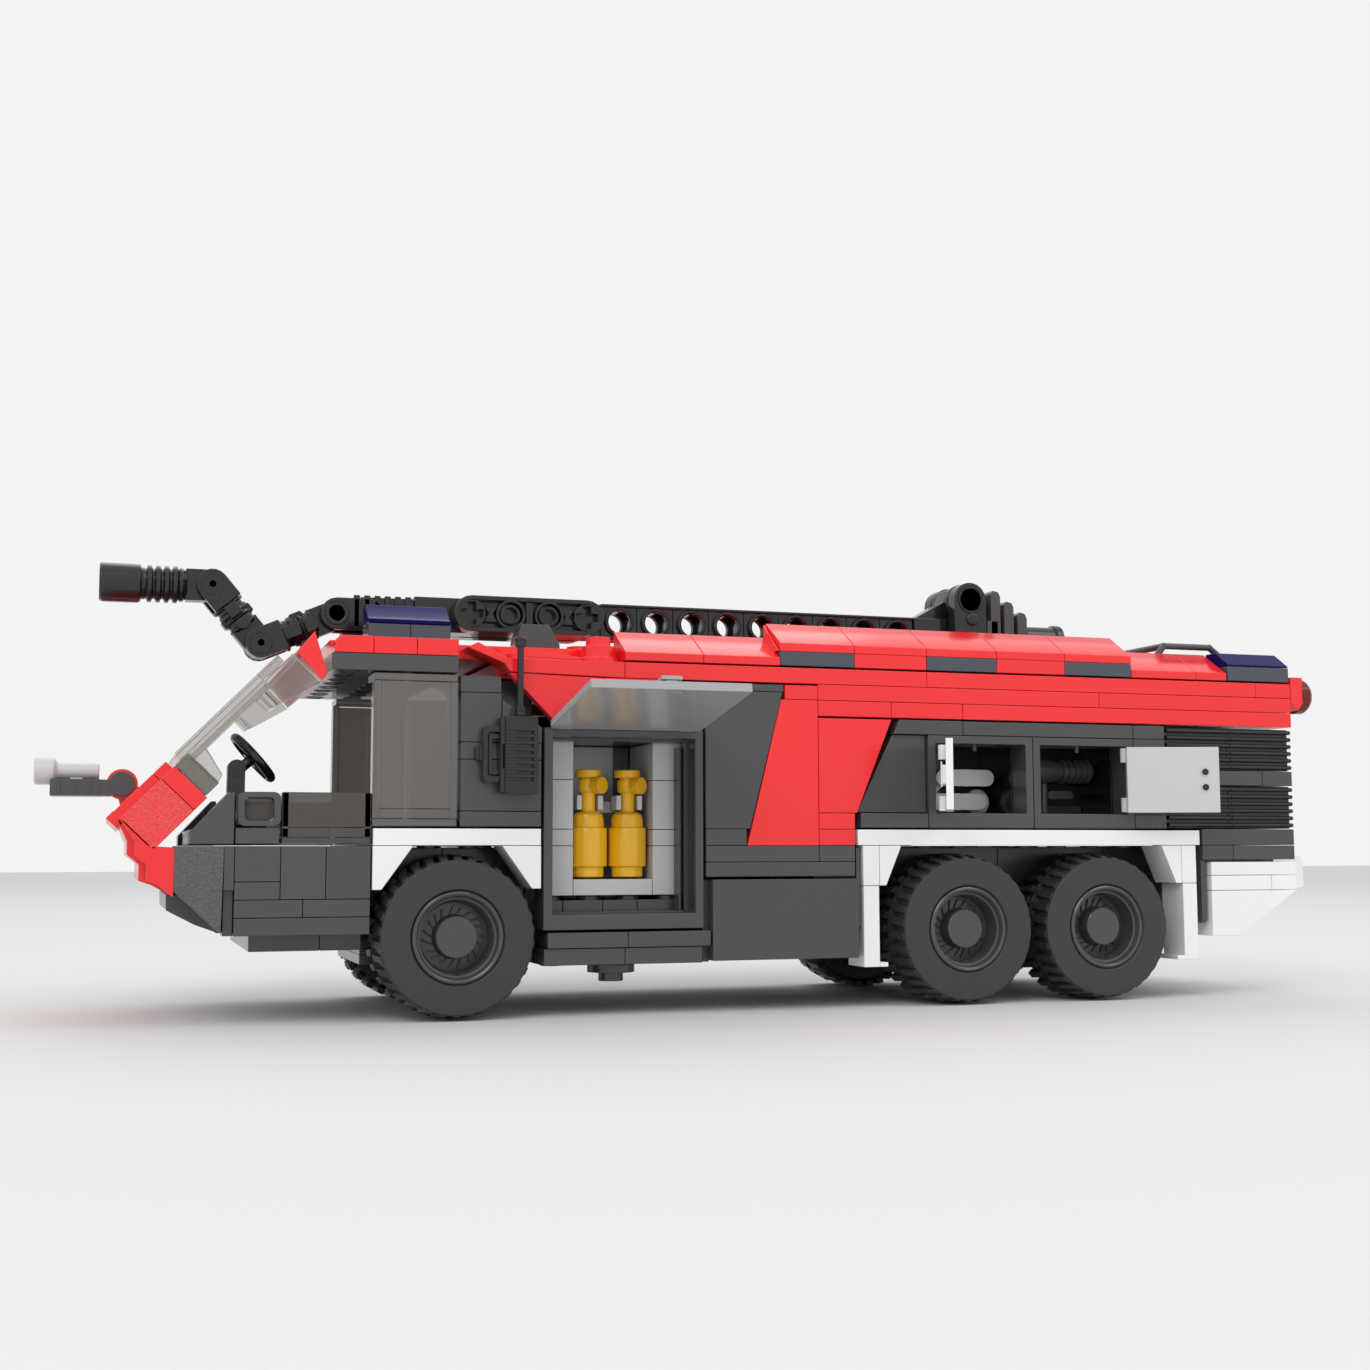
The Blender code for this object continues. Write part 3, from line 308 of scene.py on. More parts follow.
def buildGrainGroup():
    # cast grain: the pebbled face of slope bricks. The mask marks the raised points of the grain, where a
    # paler colour is laid on as painted sheen.
    group, start, end = newGroup(
        "pebbledGrain", (("Grain Scale", "NodeSocketFloat", 1500.0), ("Depth", "NodeSocketFloat", 1.0)),
        (("Height", "NodeSocketFloat"), ("Mask", "NodeSocketFloat")))
    where = group.nodes.new("ShaderNodeTexCoord").outputs["Object"]
    coarse = noiseNode(group, where, start.outputs["Grain Scale"], 3.0, 0.62)
    pits = group.nodes.new("ShaderNodeTexVoronoi")
    group.links.new(where, pits.inputs["Vector"])
    group.links.new(mathNode(group, "MULTIPLY", start.outputs["Grain Scale"], 0.8), pits.inputs["Scale"])
    mixed = mathNode(group, "MULTIPLY", coarse, mathNode(group, "ADD", pits.outputs["Distance"], 0.45))
    group.links.new(mathNode(group, "MULTIPLY", mixed, start.outputs["Depth"]), end.inputs["Height"])
    sheenMask = group.nodes.new("ShaderNodeMapRange")
    sheenMask.inputs["From Min"].default_value = 0.15
    sheenMask.inputs["From Max"].default_value = 0.65
    group.links.new(mixed, sheenMask.inputs["Value"])
    group.links.new(sheenMask.outputs["Result"], end.inputs["Mask"])
    return group


mouldedGroup = buildMouldedGroup()
grainGroup = buildGrainGroup()


def newMaterial(name):
    material = bpy.data.materials.new(name)
    material.use_nodes = True
    tree = material.node_tree
    return material, tree, tree.nodes["Principled BSDF"]


def placeGroup(tree, group, values):
    node = tree.nodes.new("ShaderNodeGroup")
    node.node_tree = group
    for label, value in values.items():
        node.inputs[label].default_value = value
    return node


def mouldedPlastic(name, look):
    material, tree, shader = newMaterial(name)
    surface = placeGroup(tree, mouldedGroup, {
        "Colour": (*look["colour"], 1), "Tone Spread": look.get("spread", 0.06),
        "Polish": look.get("polish", 0.16),
        "Mark Strength": look.get("marks", 0.1), "Ripple": look.get("ripple", 0.2)})
    tree.links.new(surface.outputs["Colour"], shader.inputs["Base Color"])
    tree.links.new(surface.outputs["Roughness"], shader.inputs["Roughness"])
    bump = tree.nodes.new("ShaderNodeBump")
    bump.inputs["Strength"].default_value = look.get("bump", 0.25)
    bump.inputs["Distance"].default_value = look.get("bumpReach", 0.0003)
    height = surface.outputs["Height"]
    if "grain" in look:
        grain = placeGroup(tree, grainGroup, {"Grain Scale": look["grain"], "Depth": look["grainDepth"]})
        height = mathNode(tree, "ADD", height, grain.outputs["Height"])
        # painted sheen: the grain's raised points get a paler colour
        paleSheen = tree.nodes.new("ShaderNodeMix")
        paleSheen.data_type = "RGBA"
        paleSheen.blend_type = "MIX"
        tree.links.new(grain.outputs["Mask"], paleSheen.inputs["Factor"])
        tree.links.new(surface.outputs["Colour"], paleSheen.inputs[6])
        paleSheen.inputs[7].default_value = (*look["sheenPeak"], 1)
        tree.links.new(paleSheen.outputs[2], shader.inputs["Base Color"])
    tree.links.new(height, bump.inputs["Height"])
    tree.links.new(bump.outputs["Normal"], shader.inputs["Normal"])
    shader.inputs["IOR"].default_value = 1.54
    shader.inputs["Subsurface Weight"].default_value = look.get("glow", 0.0)
    shader.inputs["Subsurface Radius"].default_value = (0.002, 0.001, 0.0005)
    return material


def clearPlastic(name, look):
    material, tree, shader = newMaterial(name)
    surface = placeGroup(tree, mouldedGroup, {
        "Colour": (*look["colour"], 1), "Tone Spread": 0.04, "Polish": look.get("polish", 0.05),
        "Mark Strength": look.get("marks", 0.06), "Ripple": look.get("ripple", 0.15)})
    tree.links.new(surface.outputs["Colour"], shader.inputs["Base Color"])
    tree.links.new(surface.outputs["Roughness"], shader.inputs["Roughness"])
    bump = tree.nodes.new("ShaderNodeBump")
    bump.inputs["Strength"].default_value = look.get("bump", 0.15)
    bump.inputs["Distance"].default_value = 0.0003
    tree.links.new(surface.outputs["Height"], bump.inputs["Height"])
    tree.links.new(bump.outputs["Normal"], shader.inputs["Normal"])
    shader.inputs["Transmission Weight"].default_value = look["clear"]
    shader.inputs["IOR"].default_value = look.get("bend", 1.2)
    shader.inputs["Alpha"].default_value = look.get("alpha", 1.0)
    return material


finishes = {
    "red": {"colour": (0.86, 0.018, 0.022), "polish": 0.16, "spread": 0.05},
    # each peak colour is a painted sheen, paler than the base, for the grain's raised points
    "redGrained": {"colour": (0.76, 0.016, 0.02), "polish": 0.3, "grain": 2600.0, "grainDepth": 1.1,
                   "sheenPeak": (0.85, 0.06, 0.06), "bump": 0.6},
    "dark": {"colour": (0.056, 0.060, 0.063), "polish": 0.2, "spread": 0.1},
    "darkGrained": {"colour": (0.05, 0.054, 0.056), "polish": 0.36, "grain": 2600.0, "grainDepth": 1.2,
                    "sheenPeak": (0.10, 0.106, 0.11), "bump": 0.7},
    "black": {"colour": (0.010, 0.0105, 0.0115), "polish": 0.14, "spread": 0.1},
    "lightGrey": {"colour": (0.56, 0.56, 0.58), "polish": 0.18, "spread": 0.03},
    # darker grey for the locker hatch: painted shade of its underside
    "hatchShadedGrey": {"colour": (0.36, 0.365, 0.375), "polish": 0.14, "spread": 0.03},
    "white": {"colour": (0.86, 0.865, 0.87), "polish": 0.18, "spread": 0.02},
    "blueGrey": {"colour": (0.055, 0.062, 0.085), "polish": 0.16, "spread": 0.08},
    "amber": {"colour": (0.92, 0.50, 0.012), "polish": 0.16, "spread": 0.04},
    "rubber": {"colour": (0.022, 0.0225, 0.024), "polish": 0.44, "spread": 0.08, "grain": 2600.0,
               "grainDepth": 0.25,
               "sheenPeak": (0.03, 0.031, 0.033), "bump": 0.25},
}
mats = {name: mouldedPlastic(name, look) for name, look in finishes.items()}
clears = {
    "screenClear": {"colour": (0.62, 0.60, 0.57), "clear": 0.88, "bend": 1.15, "ripple": 0.0, "marks": 0.0,
                    "bump": 0.0},
    "smoked": {"colour": (0.24, 0.225, 0.21), "clear": 0.5, "bend": 1.4},
    "smokedDeep": {"colour": (0.16, 0.15, 0.14), "clear": 0.5, "bend": 1.2},
    "blueClear": {"colour": (0.006, 0.008, 0.10), "clear": 0.2, "bend": 1.15, "polish": 0.16},
    "redClear": {"colour": (0.22, 0.012, 0.014), "clear": 0.45, "bend": 1.45},
}
mats.update({name: clearPlastic(name, look) for name, look in clears.items()})
print("finishes made:", len(mats))


wheelLook = {
    "radius": 15.2, "face": 14.2, "outside": 33.0, "width": 14.0, "lugs": 34, "lugDepth": 1.0,
    "rimRadius": 8.5, "hubRadius": 3.9, "spokes": 19,
}
axleX = {"front": 16.0, "middle": 120.0, "rear": 152.0}


def buildWheel(row, side):
    # one tyre with two rows of chunky side lugs, and its rim
    look = wheelLook
    label = "L" if side < 0 else "R"
    centre = (axleX[row], 0, look["radius"])
    outer = look["outside"]
    back = outer - look["width"]
    tyre = newShape()
    axis = (0, side, 0)
    groove = look["radius"] - look["lugDepth"]
    profile = [(look["rimRadius"] + 0.05, back + 1.2), (11.0, back + 0.3), (13.4, back + 0.5),
               (groove - 0.1, back + 1.6),
               (groove, back + 6.1), (groove - 0.5, back + 6.3), (groove - 0.5, back + 6.7),
               (groove, back + 6.9),
               (groove, back + 7.5), (groove - 0.5, back + 7.7), (groove - 0.5, back + 8.1),
               (groove, back + 8.3),
               (groove, outer - 1.8), (look["face"], outer - 0.3), (look["face"] - 0.2, outer),
               (look["rimRadius"] + 0.4, outer), (look["rimRadius"] + 0.05, outer - 0.4),
               (look["rimRadius"] + 0.05, outer - 3.2), (7.8, outer - 6.0), (7.8, back + 2.0)]
    lathe(tyre, centre, profile, axis, 68, 0.5, True)
    count = look["lugs"]
    for band, (low, high, phase) in enumerate(((outer - 6.0, outer - 0.5, 0.0),
                                               (back + 0.6, back + 6.0, 0.5))):
        for i in range(count):
            angle = 2 * math.pi * (i + phase) / count
            half = math.pi * look["radius"] / count * 0.56
            reach = look["radius"] - 0.02
            outline = [(-half, groove - 0.3), (half, groove - 0.3), (half * 0.86, reach),
                       (-half * 0.86, reach)]
            edge = 0.75 if band == 0 else 0
            points = []
            for across, deep in ((low, 0.0), (high, edge)):
                for a, b in outline:
                    lift = b - (deep if b > groove else 0)
                    slant = 0.5 if across == low else 0.0
                    points.append((a + slant * (1 if band == 0 else -1), lift, across))
            turned = []
            for a, b, across in points:
                x = a * math.cos(angle) + b * math.sin(angle)
                z = -a * math.sin(angle) + b * math.cos(angle)
                turned.append((centre[0] + x, side * across, centre[2] + z))
            addFaces(tyre, turned, [(0, 1, 2, 3), (7, 6, 5, 4), (0, 4, 5, 1), (1, 5, 6, 2), (2, 6, 7, 3),
                                    (3, 7, 4, 0)], 0.5)
    makePiece(tyre, "tyre_%s_%s" % (row, label) + "_rubber", mats["rubber"], "wheel_%s_%s" % (row, label),
              ["tyre_%s_%s" % (row, label)], 0.1)

    rim = newShape()
    dish = outer - 5.2
    profile = [(0, dish - 5), (2.4, dish - 5), (2.4, dish - 1.5), (6.6, dish - 1.2), (7.7, back + 3.4),
               (7.7, outer - 6.4), (8.45, outer - 3.6), (8.45, outer - 0.15),
               (8.1, outer + 0.1), (7.7, outer - 0.1), (7.3, outer - 1.2), (6.95, outer - 1.3),
               (6.85, outer - 2.4),
               (6.7, dish + 0.6), (6.3, dish), (4.1, dish + 0.25), (look["hubRadius"], dish + 0.6),
               (look["hubRadius"], outer - 1.7), (look["hubRadius"] - 0.2, outer - 1.5), (0, outer - 1.5)]
    lathe(rim, centre, profile, axis, 56, 0.4)
    for i in range(look["spokes"]):
        angle = 2 * math.pi * (i + 0.25 * dice.random()) / look["spokes"]
        rib = []
        tip = 5.4 + 0.7 * dice.random()
        for across, width in ((dish - 0.3, 0.3), (dish + 0.62, 0.08)):
            for radius in (look["hubRadius"] - 0.2, tip):
                for sign in (-1, 1):
                    bend = angle + 0.3 * (radius - look["hubRadius"]) / 2
                    a = sign * width
                    rib.append((centre[0] + radius * math.sin(bend) + a * math.cos(bend), side * across,
                                centre[2] + radius * math.cos(bend) - a * math.sin(bend)))
        addFaces(rim, rib, [(0, 1, 3, 2), (4, 6, 7, 5), (0, 4, 5, 1), (2, 3, 7, 6), (0, 2, 6, 4),
                            (1, 5, 7, 3)], 0.4)
    makePiece(rim, "rim_%s_%s" % (row, label) + "_disc", mats["dark"], "wheel_%s_%s" % (row, label),
              ["rim_%s_%s" % (row, label)], 0.06)


for axleRow in axleX:
    for side in sides:
        buildWheel(axleRow, side)
print("wheels built")


chassisLook = {"low": 9.6, "half": 16.0, "wall": 1.5, "front": 0.3, "back": 177.8}


def hollowPlate(shape, x, y, z):
    # a plate seen from below: a shell with tubes between its studs
    block(shape, x, y, (z[1] - 1.3, z[1]))
    wall = chassisLook["wall"]
    top = z[1] - 1.3 + 2 * seam
    for low, high in ((x[0], x[0] + wall), (x[1] - wall, x[1])):
        block(shape, (low, high), y, (z[0], top))
    for low, high in ((y[0], y[0] + wall), (y[1] - wall, y[1])):
        block(shape, (x[0] + wall - 2 * seam, x[1] - wall + 2 * seam), (low, high), (z[0], top))
    for i in range(1, round((x[1] - x[0]) / stud)):
        for j in range(1, round((y[1] - y[0]) / stud)):
            tube(shape, (x[0] + i * stud, y[0] + j * stud, (z[0] + z[1]) / 2 - 0.3), 3.25, 2.4,
                 z[1] - z[0] - 1.0, "z", 20)


def buildChassis():
    look = chassisLook
    plates = newShape()
    low = look["low"]
    seams = [look["front"], 32.0, 96.0, 160.0, look["back"]]
    for start, stop in zip(seams, seams[1:]):
        hollowPlate(plates, (start, stop), (-look["half"], look["half"]), (low, low + plate))
    blocks(plates, [look["front"], 48.0, 112.0, look["back"]], (-look["half"], look["half"]),
           (low + plate, low + 1.9 * plate))
    for start, stop in ((0.6, 31.4), (96.6, 175.4)):
        for side in sides:
            blocks(plates, [start, (start + stop) / 2, stop], span(side, 8.0, look["half"]),
                   (low + 1.95 * plate, stripLow - 0.2))
            for x in (axleX.values()):
                if start < x < stop:
                    tube(plates, (x, side * (look["half"] + 0.15), wheelLook["radius"]), 3.6, 2.7, 0.7, "y",
                         24)
    makePiece(plates, "chassis_plates", mats["dark"], "truck", ["chassis"])
    bars = newShape()
    for x in axleX.values():
        arm, thin = 2.35, 0.9
        cross = [(arm, thin), (thin, thin), (thin, arm), (-thin, arm), (-thin, thin), (-arm, thin),
                 (-arm, -thin), (-thin, -thin), (-thin, -arm), (thin, -arm), (thin, -thin), (arm, -thin)]
        prism(bars, [(x + a, wheelLook["radius"] + b) for a, b in cross], (-29.6, 29.6))
    makePiece(bars, "cross_axles", mats["black"], "truck", ["front_axle", "middle_axle", "rear_axle"])
    turntable = newShape()
    for side in sides:
        rod(turntable, (47.5, side * 24, 8.6), 4.6, 1.6, "z", 24)
        rod(turntable, (47.5, side * 24, 7.2), 2.4, 2.2, "z", 24)
    makePiece(turntable, "underside_rounds", mats["dark"], "truck", ())


buildChassis()


cabLook = {
    "length": 24.0, "corner": 10.4, "bottom": 16.0, "chamfer": 8.1,
    "roofFront": -7.6, "roofBack": 15.8, "slope": 46.0, "screenLength": 28.8, "screenTop": (-14.6, 66.8),
}
slope = math.radians(cabLook["slope"])
alongScreen = Vector((math.cos(slope), math.sin(slope)))
inwardScreen = Vector((math.sin(slope), -math.cos(slope)))
screenFoot = Vector(cabLook["screenTop"]) - cabLook["screenLength"] * alongScreen


def onScreen(along, inward):
    point = screenFoot + along * alongScreen + inward * inwardScreen
    return (point.x, point.y)


turretPivot = onScreen(-7.5, -4.6)


def buildLowerCab():
    look = cabLook
    bricks = newShape()
    grained = newShape()
    low = look["bottom"]
    front = -look["length"] - look["corner"]
    tuck = look["chamfer"]
    for side in sides:
        y = span(side, inner, halfWidth)
        for start, stop in ((-8, 0), (-16, -8)):
            block(bricks, (start, stop), y, (lv(-3), lv(0)))
        block(bricks, (-24, -16), y, (lv(-2), lv(0)))
        block(bricks, (-24, -16), y, (lv(-3), lv(-2)))
        blocks(bricks, [-24, -12, 0], y, (lv(-4), lv(-3)))
        block(bricks, (-24, 0), y, (lv(-5), lv(-4)))
        smooth = -look["length"] - 1.8
        prism(bricks, [(smooth, lv(0) - seam), (-24 - seam, lv(0) - seam), (-24 - seam, lv(-2) - 1.5),
                       (smooth, lv(-2) - 1.5)],
              span(side, inner, halfWidth))
        prism(bricks, [(smooth, lv(-2) - 1.5), (-24 - seam, lv(-2) - 1.5), (-24 - seam, low + seam),
                       (smooth, low + seam)],
              span(side, inner, halfWidth - 1.4))
        prism(grained, [(front + seam, lv(0) - seam), (smooth, lv(0) - seam), (smooth - 0.3, low + 0.5),
                        (front + seam, low + tuck)], span(side, inner - 3, halfWidth))
    block(bricks, (-24, 0), (-inner, inner), (lv(-3), lv(0)))
    for start, stop in ((-24, -16), (-16, -8), (-8, 0)):
        hollowPlate(bricks, (start, stop), (-inner, inner), (low, low + plate))
    prism(bricks, [(front + 0.3, lv(0) - 0.2), (-24, lv(0) - 0.2), (-24, low + 0.2),
                   (front + tuck, low + 0.2), (front + 0.3, low + tuck)],
          (-inner + 3, inner - 3))
    blocks(bricks, [-20.8, -8, -0.4], (-inner, inner), (low - plate, low))
    makePiece(bricks, "lower_cab_bricks", mats["dark"], "truck", ["lower_cab"])
    makePiece(grained, "lower_cab_corners", mats["darkGrained"], "truck", ())


def buildNose():
    depth = 8.0
    high = 12.8
    red = newShape()
    grained = newShape()
    for low, top in ((-halfWidth, -inner), (-inner, -8), (-8, 8), (8, inner), (inner, halfWidth)):
        edge = abs(low) > inner - 1 and abs(top) > inner - 1 and abs(low - top) < 9
        ahead = 0 if edge else -1.7
        prism(grained if edge else red, [onScreen(-high, ahead), onScreen(-3.25, ahead),
                                         onScreen(-3.25, depth), onScreen(-high, depth)],
              (low, top))
        prism(red, [onScreen(-3.15, ahead), onScreen(-0.1, ahead), onScreen(-0.1, depth),
                    onScreen(-3.15, depth)], (low, top))
    for low, top in ((-inner, 0), (0, inner)):
        prism(red, [onScreen(-high - 1.6, -1.8), onScreen(-high + 0.2, -1.8), onScreen(-high + 0.2, 1),
                    onScreen(-high - 1.6, 1)],
              (low, top))
    front = -34.4
    foot = lv(-3)
    for side in (-1, 0, 1):
        reach = (-inner, inner) if side == 0 else span(side, inner, halfWidth)
        out = 0.0 if side == 0 else 1.2
        prism(red, [(front + 0.1, lv(0) - 0.3), (front + 0.1, foot + 0.6), (front - 3.6 + out, foot + 2.7),
                    (front - 5.7 + out, foot + 3.4), (front - 5.7 + out, foot + 6.3),
                    (front - 7.8 + out, foot + 8.1),
                    (front - 7.8 + out, foot + 10.4), onScreen(-high - 0.2, -0.8 if side == 0 else 0.6),
                    onScreen(-high - 0.2, depth - 1.2)],
              reach)
    makePiece(red, "nose_bricks", mats["red"], "truck", ["nose"])
    makePiece(grained, "nose_corners", mats["redGrained"], "truck", ())
    bracket = newShape()
    prism(bracket, [onScreen(-5.5, 0.5), onScreen(-12.0, 0.5), (turretPivot[0] - 0.6, turretPivot[1] - 2.8),
                    (turretPivot[0] - 1.0, turretPivot[1] + 2.7)], (-1.8, 1.8))
    rod(bracket, (turretPivot[0], 0, turretPivot[1]), 2.9, 3.6, "y", 32)
    makePiece(bracket, "turret_bracket", mats["red"], "truck", ())
    chin = newShape()
    prism(chin, [(-35.2, 23.2), (-35.1, 20.4), (-30.0, 17.7), (-26.5, 16.4), (-24.2, 16.4), (-24.2, 23.2)],
          (-inner + 4, inner - 4))
    makePiece(chin, "chin_brick", mats["dark"], "truck", ())


buildLowerCab()
buildNose()


def buildWindscreen():
    # clear pane standing on a ledge, stepped forward between its side frames, with a red cap above
    look = cabLook
    long = look["screenLength"]
    pane = newShape()
    for side in sides:
        y = span(side, inner, halfWidth)
        prism(pane, [onScreen(0.1, 0), onScreen(3.2, 0), onScreen(3.2, 7.6), onScreen(0.1, 7.6)], y)
        wall = span(side, halfWidth - 1.5, halfWidth)
        prism(pane, [onScreen(3.2, 0.1), onScreen(long, 0.1), onScreen(long, 1.6), onScreen(3.2, 1.6)], y)
        prism(pane, [onScreen(3.2, 1.6), onScreen(6.0, 1.6), onScreen(4.6, 7.0), onScreen(3.2, 7.4)], wall)
        prism(pane, [onScreen(20.2, 1.6), onScreen(long - 0.1, 1.6), onScreen(long - 0.1, 7.3),
                     onScreen(20.2, 4.9)], wall)
        prism(pane, [onScreen(18.8, 1.6), onScreen(20.1, 1.6), onScreen(20.1, 4.9), onScreen(18.8, 4.5)], y)
    prism(pane, [onScreen(2.0, -1.7), onScreen(long - 1, -1.7), onScreen(long - 1, -0.1),
                 onScreen(2.0, -0.1)], (-inner, inner))
    prism(pane, [onScreen(0.1, 0), onScreen(3.2, 0), onScreen(3.2, 7.6), onScreen(0.1, 7.6)], (-inner, inner))
    makePiece(pane, "windscreen_pane", mats["screenClear"], "truck", ["windscreen"], 0.2)
    cap = newShape()
    topX, topY = look["screenTop"]
    for low, high in ((-halfWidth, -inner), (-inner, -8), (8, inner), (inner, halfWidth)):
        prism(cap, [(topX + 0.8, topY + 0.1), (topX + 3.9, deckZ + 3.7), (-8.3, roofZ - 0.9),
                    (-9.3, roofZ - 2.1)], (low, high))
    prism(cap, [(topX + 0.8, topY + 0.1), (topX + 1.6, deckZ + 0.7), (-10.0, deckZ + 0.7),
                (-8.3, roofZ - 0.9), (-9.3, roofZ - 2.1)],
          (-8, 8))
    makePiece(cap, "windscreen_cap_slope", mats["red"], "truck", ["windscreen_cap"])


def buildCabRoof():
    look = cabLook
    plates = newShape()
    tiles = newShape()
    front, back = look["roofFront"], look["roofBack"]
    for side in sides:
        block(plates, (front, back), span(side, 8, halfWidth), (roofZ, deckZ))
        y = span(side, inner, halfWidth)
        prism(tiles, [(front + 0.5, deckZ + seam), (0 - seam, deckZ + seam), (0 - seam, topZ),
                      (front + 1.5, topZ), (front + 0.5, topZ - 1.4)], y)
        block(tiles, (0, 8), y, (deckZ, topZ))
        block(tiles, (8, back), y, (deckZ, topZ))
        blocks(tiles, [front + 0.5, 0, back], span(side, 8, inner), (deckZ, topZ))
    block(plates, (front, back), (-8, 8), (roofZ, deckZ))
    blocks(tiles, [front + 0.5, 0, back], (-8, 8), (deckZ, topZ))
    for x in (-4.0, 4.0, 12.0):
        for y in range(-28, 29, 8):
            tube(plates, (x, y, roofZ + 0.3), 2.0, 1.5, 0.8, "z", 16)
    makePiece(plates, "cab_roof_plates", mats["dark"], "truck", ["cab_roof"])
    makePiece(tiles, "cab_roof_tiles", mats["red"], "truck", ())


def buildBeacons():
    lamps = newShape()
    bases = newShape()
    low = topZ + 0.3
    for side in sides:
        for x in (((0, 8), (8, 15.7))):
            block(bases, x, span(side, 16, inner), (low, low + plate))
        prism(lamps, [(side * inner, low + plate + seam), (side * inner, low + 4.0), (side * 22.4, low + 4.6),
                      (side * 19.0, low + 7.3), (side * 16, low + 7.3), (side * 16, low + plate + seam)],
                      (0, 15.7), "x")
    block(bases, (0.2, 15.5), (-16, 16), (low, low + 1.5))
    start = 184.0
    low = deckZ + 0.3
    for side in sides:
        block(bases, (start, 199.7), span(side, inner, halfWidth), (low, low + plate))
        prism(lamps, [(side * halfWidth, low + plate + seam), (side * halfWidth, low + 3.5),
                      (side * 27.5, low + 6.5),
                      (side * inner, low + 6.5), (side * inner, low + plate + seam)], (start, 199.7), "x")
    block(bases, (start, 199.7), (-inner, inner), (low, low + 1.5))
    makePiece(lamps, "beacon_lamps", mats["blueClear"], "truck", ["front_beacons", "rear_beacons"],
              0.2)
    makePiece(bases, "beacon_bases", mats["blueGrey"], "truck", ())


def buildCabWindows():
    # tall rear pane and low front panes, one set on each side
    for side, label in zip(sides, "LR"):
        panes = newShape()
        face = span(side, halfWidth - 1.5, halfWidth)
        deep = span(side, inner, halfWidth)
        low = lv(1) + 0.3
        high = roofZ - 0.3
        block(panes, (0.1, 15.7), deep, (low, low + 1.4))
        block(panes, (0.1, 15.7), deep, (high - 1.4, high))
        block(panes, (1.4, 14.4), face, (low + 3.2, high - 1.4))
        for x in ((0.1, 1.5), (14.3, 15.7)):
            prism(panes, rectangle(x, (low + 1.4, high - 1.4)), span(side, halfWidth - 3.2, halfWidth))
        block(panes, (1.4, 14.4), face, (low + 1.4, low + 3.25))
        lowPanes = newShape()
        block(lowPanes, (-15.9, -0.1), deep, (lv(0) + 0.3, lv(0) + 1.5))
        prism(lowPanes, rectangle((-15.9, -0.1), (lv(0) + 1.5, lv(1))), face)
        prism(lowPanes, rectangle((-15.9, -0.1), (lv(1) + 0.1, lv(3))), face)
        for x in ((-15.9, -14.7), (-1.3, -0.1)):
            prism(lowPanes, rectangle(x, (lv(0) + 1.5, lv(3))), span(side, halfWidth - 4, halfWidth))
        makePiece(lowPanes, "low_side_panes_" + label, mats["smokedDeep"], "truck", (), 0.15)
        outerLine = roundedOutline((-23.6, -16.1), (lv(1) + 0.3, lv(3)), 1.2)
        innerLine = roundedOutline((-22.4, -17.3), (lv(1) + 1.3, lv(3) - 1.0), 0.7)
        makePiece(panes, "side_panes_" + label, mats["smoked"], "truck", ["side_windows_" + label],
                  0.15)
        small = newShape()
        frameOf(small, outerLine, innerLine, span(side, inner + 2, halfWidth))
        makePiece(small, "small_window_frame_" + label, mats["dark"], "truck", ())
        glazing = newShape()
        prism(glazing, roundedOutline((-22.3, -17.4), (lv(1) + 1.4, lv(3) - 1.1), 0.6),
              span(side, halfWidth - 2.4, halfWidth - 1.4))
        makePiece(glazing, "small_window_pane_" + label, mats["smokedDeep"], "truck", (),
                  0.08)


def buildCabInside():
    desk = newShape()
    deskLow = lv(0) + 0.3
    blocks(desk, [-31, -23.8, -16.3], (-inner, inner), (deskLow, lv(1)))
    addStuds(desk, (-20.0,), range(-20, 21, 8), lv(1))
    for side in sides:
        y = span(side, inner, halfWidth)
        prism(desk, [(-31.7, deskLow), (-24.2, deskLow), (-24.2, lv(3) - 0.1), (-25.2, lv(3) - 0.1),
                     (-31.7, deskLow + 2.0)], y)
        block(desk, (-24.0, -16.3), y, (deskLow, lv(1)))
    makePiece(desk, "dashboard_bricks", mats["dark"], "truck", ["dashboard"])
    floor = newShape()
    for y in range(-24, 24, 8):
        blocks(floor, [0.4, 8, 16, 31.6], (y, y + 8), (lv(1), lv(1) + 0.3))
    addStuds(floor, (4.0, 12.0), range(-20, 21, 8), lv(1) + 0.2)
    makePiece(floor, "cab_floor_studs", mats["dark"], "truck", ())
    wheel = newShape()
    tilt = math.radians(48)
    axis = Vector((math.sin(tilt), 0, math.cos(tilt)))
    centre = Vector((-20.0, -16.0, lv(5) + 0.5))
    steps = 10
    ringLine = [(5.0 + 0.85 * math.cos(2 * math.pi * i / steps),
                 0.85 * math.sin(2 * math.pi * i / steps)) for i in range(steps)]
    lathe(wheel, centre, ringLine, axis, 40, None, True)
    rod(wheel, centre - 0.3 * axis, 1.7, 1.2, axis, 20)
    across = axis.cross(Vector((0, 1, 0))).normalized()
    for direction in (across, -across, Vector((0, 1, 0))):
        rod(wheel, centre + 2.8 * direction, 0.6, 4.4, direction, 10)
    rod(wheel, centre - 2.6 * axis, 1.0, 4.4, axis, 16)
    block(wheel, (-24.7, -21.4), (-17.6, -14.4), (lv(1) + 0.3, lv(5) - 1.2))
    rod(wheel, (-23.0, -16.0, lv(5) - 1.6), 1.7, 3.2, "y", 20)
    makePiece(wheel, "steering_wheel_ring", mats["black"], "truck", ["steering_wheel"], 0.08)


